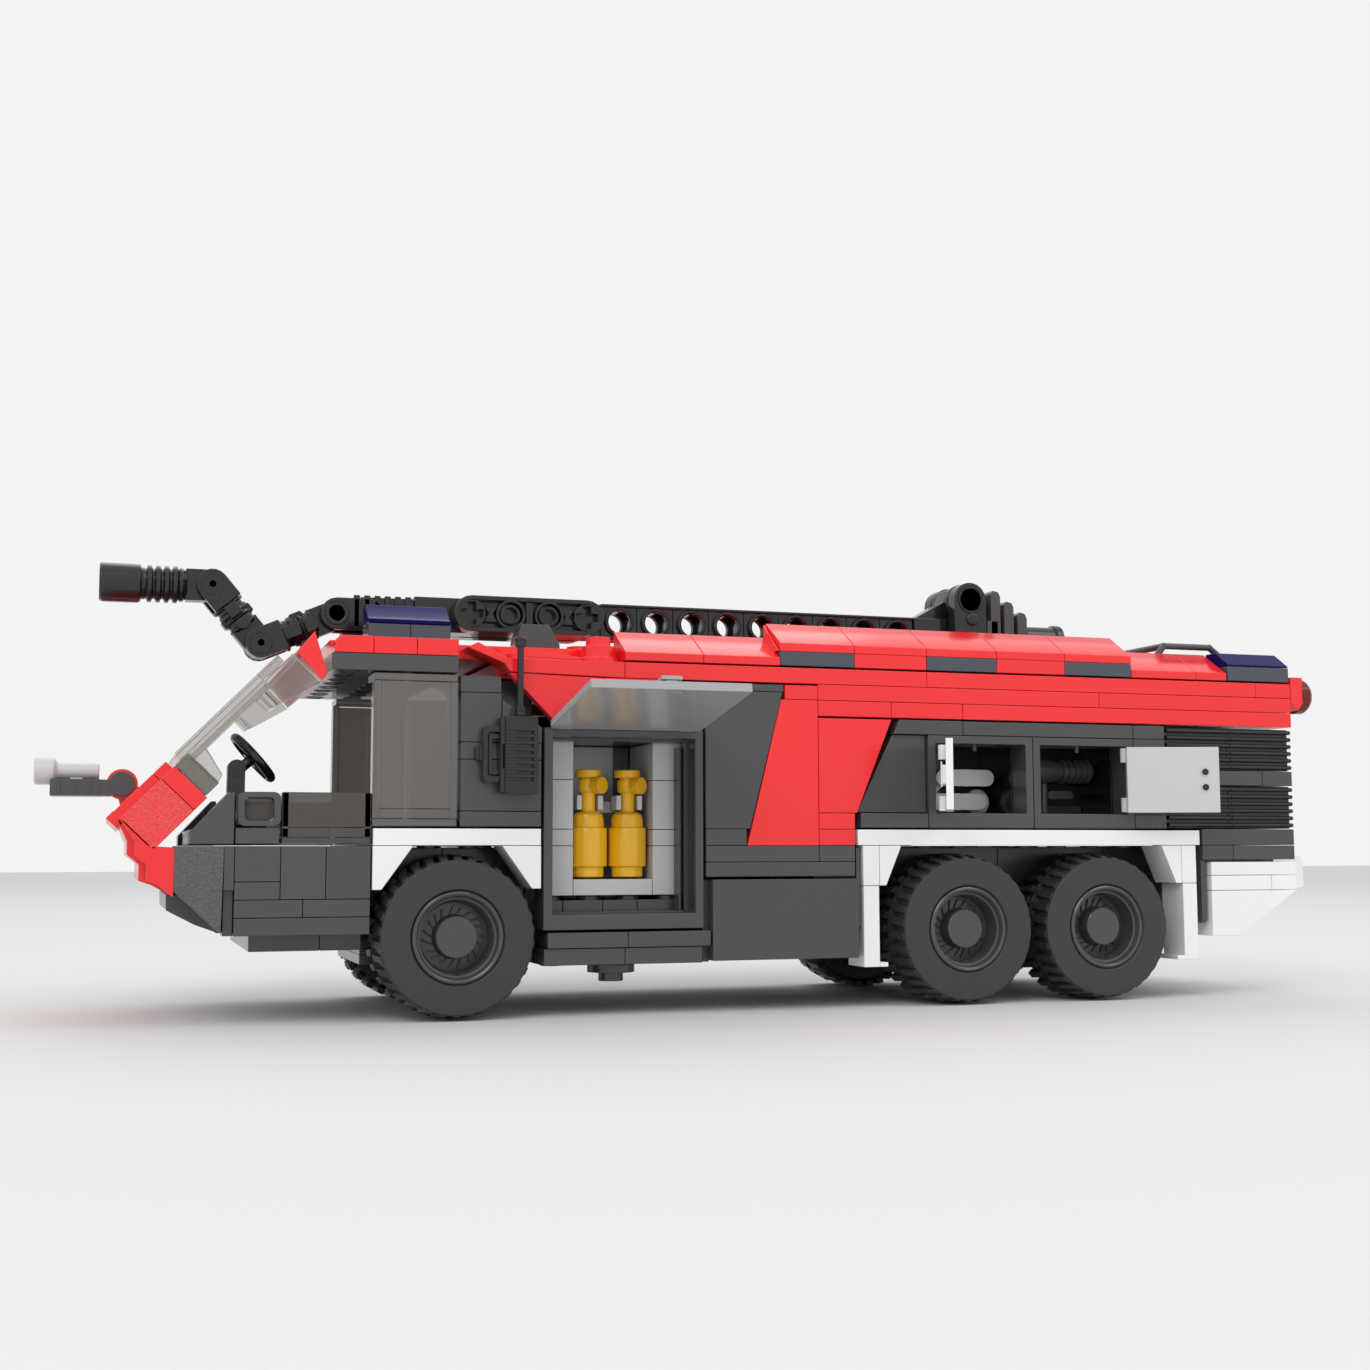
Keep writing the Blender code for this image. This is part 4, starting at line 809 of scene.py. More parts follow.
def buildCabRear():
    bricks = newShape()
    low = lv(1) + 0.3
    for side in sides:
        y = span(side, inner, halfWidth)
        blocks(bricks, [16.2, 31.7], y, (low, lv(2)))
        block(bricks, (16.2, 31.7), y, (lv(2), lv(5)))
        blocks(bricks, [16.2, 24, 31.7], y, (lv(5), lv(6)))
        block(bricks, (16.2, 24), y, (lv(6), lv(9) - 0.3))
        prism(bricks, [(24.1, lv(6) + seam), (31.7, lv(6) + seam), (31.7, lv(7) - 0.2), (24.1, lv(9) - 1.5)],
              y)
        block(bricks, (16.2, 24), span(side, inner, halfWidth - 0.4), (lv(9) - 0.3, roofZ - 0.3))
    for z0, z1 in zip(range(1, 10, 3), range(4, 11, 3)):
        middle = 8 if z0 % 2 else -8
        for y in ((-inner, middle), (middle, inner)):
            block(bricks, (24, 31.7), y, (max(lv(z0), low), min(lv(z1), roofZ - 0.3)))
    makePiece(bricks, "cab_rear_bricks", mats["dark"], "truck", ["cab_rear_wall"])


def buildRadio():
    # handset with sound slots and an aerial, clipped beside a small ribbed grip
    look = {"x": 27.0, "low": lv(3), "high": lv(3) + 14.3, "deep": 3.5, "slots": 8}
    x, low, high = look["x"], look["low"], look["high"]
    y = -halfWidth - 0.3
    body = newShape()
    block(body, (x - 3.1, x + 3.1), (y - look["deep"] + 0.9, y), (low, high), 0)
    front = y - look["deep"]
    pitch = 1.24
    slotLow = low + 2.3
    for i in range(look["slots"] + 1):
        z0 = slotLow + pitch * (i - 1) + 0.62 if i else low
        z1 = slotLow + pitch * i if i < look["slots"] else high
        block(body, (x - 3.1, x + 3.1), (front, front + 1.0), (z0, z1), 0)
    for i in range(look["slots"]):
        z0, z1 = slotLow + pitch * i, slotLow + pitch * i + 0.62
        for a, b in ((x - 3.1, x - 0.9), (x + 2.2, x + 3.1)):
            block(body, (a, b), (front, front + 1.0), (z0 - 0.01, z1 + 0.01), 0)
    block(body, (x - 3.9, x - 3.0), (front + 0.4, y), (low + 9.0, high - 0.2), 0)
    block(body, (x - 3.9, x - 3.0), (front + 0.4, y), (low + 0.2, low + 4.6), 0)
    for z, radius in ((high + 0.9, 0.95), (high + 7.4, 0.62), (high + 13.9, 1.0)):
        rod(body, (x, y - 1.8, z), radius, 1.6 if radius > 0.7 else 14.0, "z", 16)
    lathe(body, (x, y - 1.8, high + 14.3), [(1.1, 0), (1.2, 0.3), (0.9, 0.8), (0, 0.95)], "z", 16)
    for i in range(3):
        rod(body, (x, y - 1.8, high + 0.5 + 0.6 * i), 1.05, 0.35, "z", 16)
    gx0, gx1, gz0, gz1 = x - 7.0, x - 3.2, low + 2.0, low + 12.6
    frameOf(body, roundedOutline((gx0, gx1), (gz0, gz1), 1.0),
            roundedOutline((gx0 + 0.9, gx1 - 0.5), (gz0 + 1.2, gz1 - 1.2), 0.6),
            (y - 2.2, y))
    frameOf(body, roundedOutline((gx0 + 1.1, gx1 - 0.2), (gz0 + 1.5, gz1 - 1.5), 0.5),
            roundedOutline((gx0 + 1.8, gx1 - 0.6), (gz0 + 2.4, gz1 - 2.4), 0.4), (y - 1.7, y))
    block(body, (gx0 - 0.6, gx0 + 1.0), (y - 1.6, y - 0.2), (low + 6.0, low + 8.9), 0)
    block(body, (gx0 - 1.2, gx0 - 0.5), (y - 1.2, y - 0.2), (low + 6.2, low + 8.7), 0)
    makePiece(body, "radio_handset_body", mats["black"], "truck", ["radio_handset"], 0.09)


for build in (buildWindscreen, buildCabRoof, buildBeacons, buildCabWindows, buildCabInside, buildCabRear,
              buildRadio):
    build()
print("cab built")


def buildFenders():
    white = newShape()
    drop = lv(-2.5)
    for side in sides:
        y = span(side, inner, halfWidth)
        block(white, (0.3, 31.7), y, (lv(0), lv(1)))
        for mirror in (False, True):
            def across(line):
                return [(32 - x if mirror else x, z) for x, z in line]
            prism(white, across([(0.3, lv(0) - seam), (7.7, lv(0) - seam), (2.0, drop), (0.3, drop)]), y)
            prism(white, across([(0.3, lv(0) - seam), (5.6, lv(0) - seam), (1.2, drop + 2.0),
                                 (0.3, drop + 2.0)]), span(side, 17, inner))
        block(white, (96.3, 175.7), y, (lv(0), lv(1)))
        for mirror in (False, True):
            def across(line):
                return [(272 - x if mirror else x, z) for x, z in line]
            foot = lv(-7.5)
            prism(white, across([(97.4, drop + seam), (100.9, drop + seam), (100.9, lv(0) - seam),
                                 (97.4, lv(0) - seam)]), y)
            prism(white, across([(101.0, lv(0) - seam), (105.8, lv(0) - seam), (102.4, drop + seam),
                                 (101.0, drop + seam)]), y)
            prism(white, across([(97.4, foot), (100.8, foot), (100.8, drop - seam), (97.4, drop - seam)]), y)
            prism(white, across([(100.8, foot), (102.6, foot), (102.6, foot + 0.9), (100.8, foot + 0.9)]), y)
        for x in ((108.0, 136.0), (136.0, 164.0)):
            block(white, x, span(side, inner + 0.2, halfWidth), (lv(0) - 0.02, lv(0) + 0.03), 0)
    makePiece(white, "fender_bricks", mats["white"], "truck", ["front_fenders", "rear_fenders"])
    decks = newShape()
    for start, stop in ((0.3, 31.7), (96.3, 175.7)):
        count = max(1, round((stop - start) / 32))
        seams = [start + (stop - start) * i / count for i in range(count + 1)]
        blocks(decks, seams, (-inner, inner), (lv(0), lv(1)))
        for low, high in zip(seams, seams[1:]):
            for x in range(int((high - low) // 8)):
                for y in (-20, 20):
                    tube(decks, (low + 4 + 8 * x, y, lv(0) - 0.2), 2.0, 1.5, 0.7, "z", 16)
    makePiece(decks, "fender_decks", mats["dark"], "truck", ())


lockerLook = {"x": (32.2, 63.8), "z": (16.2, 54.2), "bottleX": (44.0, 52.0), "bottleY": 19.8}


def buildFrontLockers():
    look = lockerLook
    frames = newShape()
    lining = newShape()
    plates = newShape()
    x0, x1 = look["x"]
    z0, z1 = look["z"]
    for side in sides:
        frameOf(frames, rectangle((x0, x1), (z0, z1)), rectangle((x0 + 1.7, x1 - 1.6), (z0 + 2.9, z1 - 1.6)),
                span(side, inner, halfWidth))
        frameOf(frames, rectangle((x0 + 1.5, x1 - 1.4), (z0 + 2.6, z1 - 1.4)),
                rectangle((x0 + 2.0, x1 - 2.2), (z0 + 3.3, z1 - 2.1)),
                span(side, inner, inner + 3.5))
        left, right = x0 + 2.0, x1 - 2.0
        for low, high in zip((lv(-3), lv(0), lv(1), lv(4)), (lv(0), lv(1), lv(4), z1 - 2.0)):
            for a, b in ((left, 40), (56, right)):
                block(lining, (a, b), span(side, 8, inner - 0.1), (low, high))
        block(lining, (40, 56), span(side, 8.5, inner - 0.1), (lv(-3), lv(-2)))
        block(lining, (40, 52.5), span(side, 6.5, 8.2), (lv(-2), z1 - 2.0))
        block(plates, (52.5, 56), span(side, 6.0, 7.6), (lv(-2), z1 - 2.0))
        blocks(plates, [left, 38, 46, 53, right], span(side, 8, inner - 0.3), (lv(-4) - 0.1, lv(-3) - 0.8))
        addStuds(plates, (36.0, 44.0, 52.0, 60.0), (side * 20,), lv(-3) - 1.75, 20)
        block(plates, (left, right), span(side, 4, inner - 0.3), (z1 - 1.9, z1 - 0.3))
        for x in (60.3, 61.4):
            block(plates, (x, x + 0.6), span(side, inner, inner + 3.2), (z0 + 3.0, z1 - 3.0))
    block(plates, (x0, x1), (-inner, inner), (z0 + 0.1, lv(-4) - 0.3))
    block(plates, (x0 + 2, x1 - 2), (-6.2, 6.2), (lv(-4), z1 - 1.7))
    makePiece(frames, "locker_frames", mats["dark"], "truck", ["front_lockers"])
    makePiece(lining, "locker_lining_bricks", mats["lightGrey"], "truck", ["locker_lining"])
    makePiece(plates, "locker_plates", mats["dark"], "truck", ())


def buildExtinguishers(side, label):
    look = lockerLook
    bottles = newShape()
    clips = newShape()
    low = lv(-2) + 0.3
    y = side * look["bottleY"]
    for x in look["bottleX"]:
        lathe(bottles, (x, y, low), [(0, 0), (2.9, 0), (3.1, 0.2), (3.1, 2.0), (3.7, 2.1), (3.75, 2.3),
                                     (3.75, 9.4), (3.65, 9.6),
                                     (3.15, 9.7), (3.15, 11.3), (2.9, 12.2), (2.2, 12.7), (1.45, 12.8),
                                     (1.45, 16.4),
                                     (1.95, 16.8), (1.95, 19.0), (1.5, 19.1), (1.5, 19.4), (2.5, 19.5),
                                     (2.6, 19.7), (2.6, 20.8),
                                     (2.45, 21.0), (0, 21.0)], "z", 36)
        lathe(bottles, (x, y, low + 17.9), [(1.1, 0), (1.1, 1.6), (1.65, 1.7), (1.7, 1.9), (1.7, 3.6),
                                            (1.55, 3.7), (0, 3.7)],
              (0.75, side, 0), 24)
        for offset in (-2.15, 2.15):
            block(clips, (x + offset - 0.55, x + offset + 0.55),
                  span(side, look["bottleY"] - 1.0, look["bottleY"] + 1.7), (low + 13.1, low + 16.0))
        block(clips, (x - 2.7, x + 2.7), span(side, look["bottleY"] - 3.2, look["bottleY"] - 1.6),
              (low + 13.1, low + 16.0))
    x0, x1 = look["bottleX"]
    block(clips, (x0 - 2.7, x1 + 2.7), span(side, look["bottleY"] - 5.6, look["bottleY"] - 3.2),
          (low + 12.6, low + 15.0))
    makePiece(bottles, "extinguisher_bottles_" + label, mats["amber"], "truck", ["extinguishers_" + label],
              0.08)
    makePiece(clips, "extinguisher_clips_" + label, mats["lightGrey"], "truck", ())


def buildHatch(side, label):
    # lifting door of the front locker, held level at rest. Its grey is darker than the part's own light grey:
    # painted shade for the underside seen from below.
    hingeY, hingeZ = 33.1, 54.7
    rise = math.radians(10)
    door = newShape()
    x0, x1 = 33.0, 62.8

    def at(along, up):
        drop = up - 0.8
        return (side * (hingeY + along * math.cos(rise) - drop * math.sin(rise)),
                hingeZ + along * math.sin(rise) + drop * math.cos(rise))
    long = 29.6
    prism(door, [at(0, 0), at(long, 0), at(long, 1.55), at(0, 1.55)], (x0, x1), "x")
    for i in range(24):
        a = 1.0 + i * 1.18
        prism(door, [at(a, 0.15), at(a + 0.6, 0.15), at(a + 0.6, 1.4), at(a, 1.4)], (x0 - 0.12, x0 + 0.4),
              "x", 0.5, 0)
    prism(door, [at(long - 4.6, 1.5), at(long - 0.8, 1.5), at(long - 0.8, 2.1), at(long - 4.6, 2.1)],
          (46.9, 49.1), "x")
    prism(door, [at(long - 4.9, 2.0), at(long - 0.5, 2.0), at(long - 0.5, 2.7), at(long - 4.9, 2.7)],
          (46.0, 50.0), "x")
    for x in (46.6, 49.4):
        prism(door, [at(long - 2.3, -0.12), at(long - 1.9, -0.12), at(long - 1.9, 0.1), at(long - 2.3, 0.1)],
              (x - 0.7, x + 0.7), "x", 0.5, 0)
    for x in (36.0, 60.0):
        rod(door, (x, side * hingeY, hingeZ), 0.85, 2.6, "x", 16)
    makePiece(door, "hatch_panel_" + label, mats["hatchShadedGrey"], "hatch_" + label, ["hatch_" + label],
              0.1)


buildFenders()
buildFrontLockers()
for side, label in zip(sides, "LR"):
    buildExtinguishers(side, label)
    buildHatch(side, label)
print("fenders and front lockers built")


panelLook = {"slantLow": 72.9, "slantHigh": 80.9, "stepEnd": 104.4, "proud": 0.8}


def buildSidePanels():
    look = panelLook
    dark = newShape()
    red = newShape()
    lower = newShape()
    lowX, highX = look["slantLow"], look["slantHigh"]
    for side in sides:
        y = span(side, inner, halfWidth)
        top = roofZ - 0.3
        blocks(dark, [55.6, 64, highX - 0.2], y, (lv(9) + 1.4, top))
        block(dark, (44.2, 55.5), span(side, inner, halfWidth - 0.8), (lv(7) + 0.1, lv(9)))
        block(dark, (55.6, 64), span(side, inner, halfWidth - 0.8), (lv(7) + 0.1, lv(9) + 1.3))
        prism(dark, [(64.3, lv(1) + seam), (lowX + 0.55, lv(1) + seam), (highX - 0.45, lv(9) + 1.4 - seam),
                     (64.3, lv(9) + 1.4 - seam)], y)
        block(dark, (64.3, lowX - 0.1), y, (lv(0), lv(1)))
        blocks(dark, [64.3, 88, 95.7], y, (lv(-1), lv(0)))
        block(dark, (64.3, 95.7), y, (lv(-2) + 0.3, lv(-1)))
        prism(red, [(lowX, lv(0)), (88 - seam, lv(0)), (88 - seam, lv(9) - seam),
                    (highX - 0.75, lv(9) - seam)], y)
        block(red, (highX, 88), y, (lv(9), top))
        block(red, (88, 95.8), y, (lv(0), lv(1)))
        block(red, (88, 95.8), y, (lv(1), lv(2)))
        prism(red, [(88 + seam, lv(2) + seam), (96.2, lv(2) + seam),
                    (look["stepEnd"] - 0.4, lv(8) - 0.3 - seam), (88 + seam, lv(8) - 0.3 - seam)], y)
        proud = span(side, 17, halfWidth + look["proud"])
        block(lower, (65.4, 96.0), proud, (lv(-7) + 0.3, lv(-2) - 0.1))
        block(lower, (64.2, 65.6), span(side, 17, halfWidth - 2), (lv(-7), lv(-2) - 0.2))
        block(lower, (96.0, 97.0), span(side, 17, halfWidth - 0.5), (lv(-5), lv(0) - 0.3))
        blocks(lower, [32.9, 48.6, 65.2], span(side, 17, halfWidth + 0.4), (lv(-6), lv(-5) - 0.2))
        blocks(lower, [32.3, 48.1, 63.6], span(side, 17, halfWidth), (lv(-7), lv(-6)))
    for z in range(-2, 9, 3):
        block(dark, (64.3, 72), (-inner, 0), (max(lv(z), lv(-2) + 0.3), min(lv(z + 3), roofZ - 0.3)))
        block(dark, (64.3, 72), (0, inner), (max(lv(z), lv(-2) + 0.3), min(lv(z + 3), roofZ - 0.3)))
    block(red, (76, 95.7), (-inner, inner), (lv(0), lv(1)))
    block(lower, (32.3, 65), (-17, 17), (lv(-5) - 1.0, lv(-5) - 0.1))
    makePiece(dark, "middle_dark_bricks", mats["dark"], "truck", ["middle_panels"])
    makePiece(red, "middle_red_bricks", mats["red"], "truck", ["red_panels"])
    makePiece(lower, "lower_side_bricks", mats["dark"], "truck", ["lower_panels"])


rearLook = {"start": 112.0, "frame": 24.0, "wall": 1.7, "depth": 12.0}


def buildRearLockers():
    look = rearLook
    dark = newShape()
    # the inside walls and backs of the lockers are drawn black: painted shade for the dark inside of the
    # lockers
    deep = newShape()
    z0, z1 = lv(1) + 0.3, lv(7)
    for side in sides:
        y = span(side, halfWidth - 6, halfWidth)
        for i in range(2):
            x0 = look["start"] + i * look["frame"]
            x1 = x0 + look["frame"]
            frameOf(dark, rectangle((x0 + 0.08, x1 - 0.08), (z0, z1 - 0.1)),
                    rectangle((x0 + look["wall"], x1 - look["wall"]), (lv(2) + 0.1, z1 - look["wall"])), y)
            frameOf(deep, rectangle((x0 + 0.2, x1 - 0.2), (z0 + 0.1, z1 - 0.3)),
                    rectangle((x0 + look["wall"] + 0.2, x1 - look["wall"] - 0.2),
                              (lv(2) + 0.3, z1 - look["wall"] - 0.2)),
                    span(side, look["depth"], halfWidth - 6))
            block(deep, (x0, x1), span(side, look["depth"] - 1.6, look["depth"]), (z0, z1 - 0.1))
            rod(dark, (x0 + 12.0, side * (halfWidth - 3.0), z1 - look["wall"] - 0.5), 0.5, 1.6, "z", 10)
        prism(dark, [(96.6, lv(2) + 0.2), (111.95, lv(2) + 0.2), (111.95, z1 - 0.1), (104.6, z1 - 0.1)],
              span(side, inner, halfWidth - 1.0))
        block(dark, (97.0, 111.95), y, (z0, lv(2) + 0.1))
        prism(dark, [(104.4, z1), (119.95, z1), (119.95, lv(8) - 0.3), (105.7, lv(8) - 0.3)],
              span(side, inner, halfWidth))
        block(dark, (120, 160), span(side, inner, halfWidth), (z1, lv(8) - 0.3))
        block(dark, (160, 167.7), span(side, inner, halfWidth), (z1, lv(8) - 0.3))
        block(dark, (160, 167.7), span(side, inner, halfWidth), (lv(2), z1))
        block(dark, (160, 167.7), span(side, inner, halfWidth), (z0, lv(2)))
    for x0, x1 in ((104.6, 128), (128, 152), (152, 167.6)):
        block(dark, (x0, x1), (-look["depth"], look["depth"]), (z1 + 0.2, lv(8) - 0.3))
    makePiece(dark, "rear_locker_frames", mats["dark"], "truck", ["rear_lockers"])
    # black linings: painted shade inside the lockers
    makePiece(deep, "rear_locker_shade_linings", mats["black"], "truck", ())


def buildLockerTools(side, label):
    # folded wrench in the first locker, hose and cone nozzle in the second
    tool = newShape()
    floor = lv(2) + 0.3
    y = 20.0
    for x0, x1, z, deep in ((120.5, 130.6, floor + 7.5, 20.6), (119.0, 129.4, floor + 2.5, 19.4)):
        prism(tool, stadium(x0, x1, z, 1.75), span(side, deep - 1.3, deep + 1.3))
        prism(tool, rectangle((x0 + 4.5, x0 + 5.9), (z - 1.8, z + 1.8)), span(side, deep - 1.2, deep + 1.36),
              "y", 0.2)
    for x, z, deep in ((118.8, floor + 6.8, 18.2), (130.0, floor + 2.5, 17.9)):
        lathe(tool, (x, side * deep, z), [(0, -1.2), (2.6, -1.2), (2.8, -1.0), (2.8, 0.7), (2.5, 0.9),
                                          (0.9, 0.9), (0.7, 0.5), (0, 0.5)],
              (0, side, 0), 28)
    block(tool, (113.9, 134.1), span(side, 12.3, 13.9), (floor, floor + 2))
    block(tool, (117.6, 119.2), span(side, 13.6, 18.0), (floor + 0.3, floor + 9.6))
    makePiece(tool, "folded_tool_" + label, mats["lightGrey"], "truck", ["locker_tool_" + label],
              0.1)
    hose = newShape()
    y = side * 19.0
    z = floor + 9.3
    lathe(hose, (142.5, y, z), [(0, 0.9), (2.4, 0), (3.1, 0), (3.3, 0.4), (2.2, 6.6), (0, 6.6)], "x", 28)
    x = 148.9
    profile = [(0, 0), (1.9, 0)]
    for i in range(5):
        a = 0.4 + i * 1.5
        profile += [(2.1, a), (2.7, a + 0.3), (2.7, a + 0.9), (2.1, a + 1.2)]
    profile += [(1.9, 8.2), (0, 8.2)]
    lathe(hose, (x, y, z), profile, "x", 28)
    block(hose, (137.9, 158.0), span(side, 12.3, 13.9), (floor, floor + 2))
    rod(hose, (146.2, side * 18.0, floor + 3.6), 1.0, 6.8, "z", 16)
    block(hose, (145.2, 147.2), span(side, 13.6, 18.6), (floor + 0.2, floor + 1.6))
    for i in range(5):
        rod(hose, (138.8 + 1.1 * i, side * 17.0, floor + 4.0), 0.85 if i % 2 else 0.6, 1.2, "x", 14)
    prism(hose, stadium(148.2, 152.6, floor + 4.2, 0.9), span(side, 16.4, 18.2))
    makePiece(hose, "hose_and_nozzle_" + label, mats["dark"], "truck", ["locker_hose_" + label],
              0.07)


def buildSmallDoors(side, label):
    # both doors are drawn shut and swung open about their hinges
    look = rearLook
    low = lv(2) + 0.3
    high = low + 13.8
    knuckle = 0.9
    hingeY = halfWidth + knuckle - 0.2
    width = look["frame"] - 2 * 1.6 - 0.6 - knuckle
    for place, hingeX, way, angle in (("front", look["start"] + 1.6 + 0.3 + knuckle, 1, 117),
                                      ("rear", look["start"] + 2 * look["frame"] - 1.6 - 0.3 - knuckle, -1,
                                       161)):
        door = newShape()
        holes = newShape()
        x = sorted((hingeX, hingeX + way * width))
        outward = halfWidth
        grip = hingeX + way * (width - 3)
        if place == "rear":
            block(door, x, span(side, outward - 1.5, outward), (low, high))
            for z in (low + 5.3, low + 8.5):
                lathe(door, (grip, side * (outward - 1.45), z),
                      [(0.95, 0), (0.95, 0.14), (0.72, 0.18), (0.68, 0.02)], (0, -side, 0), 20, None, True)
                # a black disc fills each ring: painted shade standing in for the dark seen through the hole
                rod(holes, (grip, side * (outward - 1.5), z), 0.68, 0.1, "y", 20)
        else:
            block(door, x, span(side, outward - 1.5, outward), (low, high))
            block(door, (grip - 0.6, grip + 0.6), span(side, outward - 0.3, outward + 0.9),
                  (low + 5.0, low + 8.8))
        block(door, (grip - 0.8, grip + 0.8), span(side, outward + 0.6, outward + 1.0),
              (low + 4.4, low + 9.4))
        for z in (low + 1.7, high - 1.7):
            rod(door, (hingeX, side * hingeY, z), knuckle - 0.05, 3.0, "z", 18)
        turnDoor = Matrix.Rotation(math.radians(side * way * angle), 4, "Z")
        pivot = Vector((hingeX, side * hingeY, 0))
        for shape in (door, holes):
            shape["points"] = [tuple(pivot + turnDoor @ (Vector(p) - pivot)) for p in shape["points"]]
        if holes["points"]:
            makePiece(holes, "door_hole_shade_" + label, mats["black"], "rear_door_" + label, (),
                      0)
        finish = "white" if place == "front" else "lightGrey"
        makePiece(door, "%s_door_panel_%s" % (place, label), mats[finish], "%s_door_%s" % (place, label),
                  ["%s_door_%s" % (place, label)],
                  0.08)


buildSidePanels()
buildRearLockers()
for side, label in zip(sides, "LR"):
    buildLockerTools(side, label)
    buildSmallDoors(side, label)
print("sides and rear lockers built")


roofLook = {"lip": 1.6, "rise": 6.4, "runs": ((48, 80, 0), (80, 160, 1), (160, 184, 0)), "slopeLength": 16}


def buildUpperBody():
    red = newShape()
    tailEnd = 200.0
    for side in sides:
        y = span(side, inner, halfWidth)
        blocks(red, [48, 112, 191, tailEnd], y, (roofZ, deckZ))
        blocks(red, [88, 152, tailEnd], y, (lv(9), roofZ))
        blocks(red, [88, 104, 120, tailEnd], y, (lv(8), lv(9)))
        wing = [(17.4, 69.0), (19.4, 70.0), (25.0, deckZ - seam), (48 - seam, deckZ - seam),
                (48 - seam, roofZ + seam),
                (25.6, roofZ + 0.6), (24.4, 66.2)]
        prism(red, wing, span(side, inner, halfWidth))
        prism(red, [(25.4, roofZ + 0.4), (43.6, roofZ - seam), (43.6, roofZ - 3.1), (37.0, lv(7) + 2.2),
                    (34.4, lv(7) + 0.7), (33.2, lv(7) + 2.0)],
              span(side, halfWidth - 3.0, halfWidth - 0.05))
        blocks(red, [43.7, 55.4], y, (lv(9) + 0.1, roofZ))
        prism(red, [(19.5, 69.9), (25.4, deckZ), (48, deckZ), (48, deckZ + 0.1), (30.0, deckZ + 1.9),
                    (24.0, deckZ + 1.0)],
              span(side, inner, inner + 5))
        lathe(red, (43.7, side * 28, deckZ - 0.2),
              [(3.9, 0), (3.9, 1.0), (3.3, 1.1), (3.3, 3.3), (2.4, 3.4), (2.4, 5.1), (0, 5.1)], "z", 32)
    for start, stop in ((24.4, 72), (72, 136), (136, tailEnd)):
        for low, high in ((-inner, 0), (0, inner)):
            block(red, (start, stop), (low, high), (roofZ, deckZ))
    makePiece(red, "upper_body_bricks", mats["red"], "truck", ["upper_body"])


def roofSlope(shape, x, side, base):
    # a slope brick with a short upright lip
    look = roofLook
    lip, rise = look["lip"], look["rise"]
    outline = [(side * halfWidth, base), (side * halfWidth, base + lip), (side * inner, base + rise),
               (side * (inner - 0.4), base + rise), (side * (inner - 0.4), base)]
    prism(shape, outline, x, "x")


def buildRoof():
    look = roofLook
    slopes = newShape()
    strips = newShape()
    for side in sides:
        for start, stop, lift in look["runs"]:
            base = deckZ + lift * plate + (0.3 if not lift else 0)
            x = start
            while x < stop:
                end = min(x + look["slopeLength"], stop)
                roofSlope(slopes, (x, end - (0.3 if end == 184 else 0)), side, base)
                x = end
        y = span(side, inner, halfWidth)
        for x in range(80, 160, 16):
            tiles = strips if (x // 16) % 2 else slopes
            block(tiles, (x, x + 16), y, (deckZ + 0.3, topZ))
        prism(slopes, [(side * halfWidth, topZ), (side * (inner - 0.4), topZ),
                       (side * (inner - 0.4), topZ + 6.2)],
              (79.5, 80.0), "x")
    makePiece(slopes, "roof_slopes", mats["red"], "truck", ["roof"])
    makePiece(strips, "roof_side_lights", mats["blueGrey"], "truck", ())
    deck = newShape()
    low = deckZ + 0.3
    for start in range(16, 176, 32):
        for y0, y1 in ((-inner + 0.6, 0), (0, inner - 0.6)):
            block(deck, (start + 0.3, min(start + 32, 183.7)), (y0, y1), (low, topZ))
    blocks(deck, [176, 183.7], (-inner + 0.6, inner - 0.6), (low, topZ))
    addStuds(deck, studRow(4, 22), (-12, 12), topZ)
    makePiece(deck, "roof_deck_plates", mats["red"], "truck", ())
    fittings = newShape()
    for side in sides:
        y = side * 22.4
        line = [(172.0, topZ + 2.6), (174.6, topZ + 5.4), (186.2, topZ + 5.4), (188.4, topZ + 3.8)]
        for (xa, za), (xb, zb) in zip(line, line[1:]):
            direction = Vector((xb - xa, 0, zb - za))
            rod(fittings, ((xa + xb) / 2, y, (za + zb) / 2), 0.7, direction.length + 0.9, direction, 14)
    rod(fittings, (174.6, 0, topZ + 5.4), 0.75, 45.0, "y", 16)
    for side in sides:
        block(fittings, (171.6, 183.4), span(side, 21.6, 23.0), (topZ + 0.1, topZ + 3.0))
    block(fittings, (178.2, 183.6), (-21.4, 21.4), (topZ + 0.1, topZ + 3.1))
    for i in range(8):
        block(fittings, (178.6 + 0.62 * i, 178.9 + 0.62 * i), (-20.6, 20.6), (topZ + 3.0, topZ + 3.5), 0)
    makePiece(fittings, "tail_hood", mats["dark"], "truck", ())
    hoods = newShape()
    for side in sides:
        prism(hoods, [(28.8, topZ - 0.2), (28.8, topZ + 1.2), (29.6, topZ + 4.5), (35.2, topZ + 4.5),
                      (37.3, topZ + 0.6), (37.3, topZ - 0.2)],
              span(side, 17, 23.2))
    makePiece(hoods, "hood_slopes", mats["dark"], "truck", ())


tailLook = {"start": 168.2, "end": 199.7, "ribs": 6}


def grille(shape, x, side, z, ribs):
    # a grille tile: rounded bars standing on a dark back
    pitch = (z[1] - z[0]) / ribs
    block(shape, x, span(side, inner, halfWidth - 1.3), z)
    for i in range(ribs):
        middle = z[0] + pitch * (i + 0.5)
        half = pitch * 0.30
        prism(shape, [(side * (halfWidth - 1.4), middle - half), (side * (halfWidth - 0.35), middle - half),
                      (side * halfWidth, middle - half * 0.4), (side * halfWidth, middle + half * 0.4),
                      (side * (halfWidth - 0.35), middle + half), (side * (halfWidth - 1.4), middle + half)],
                      x, "x")


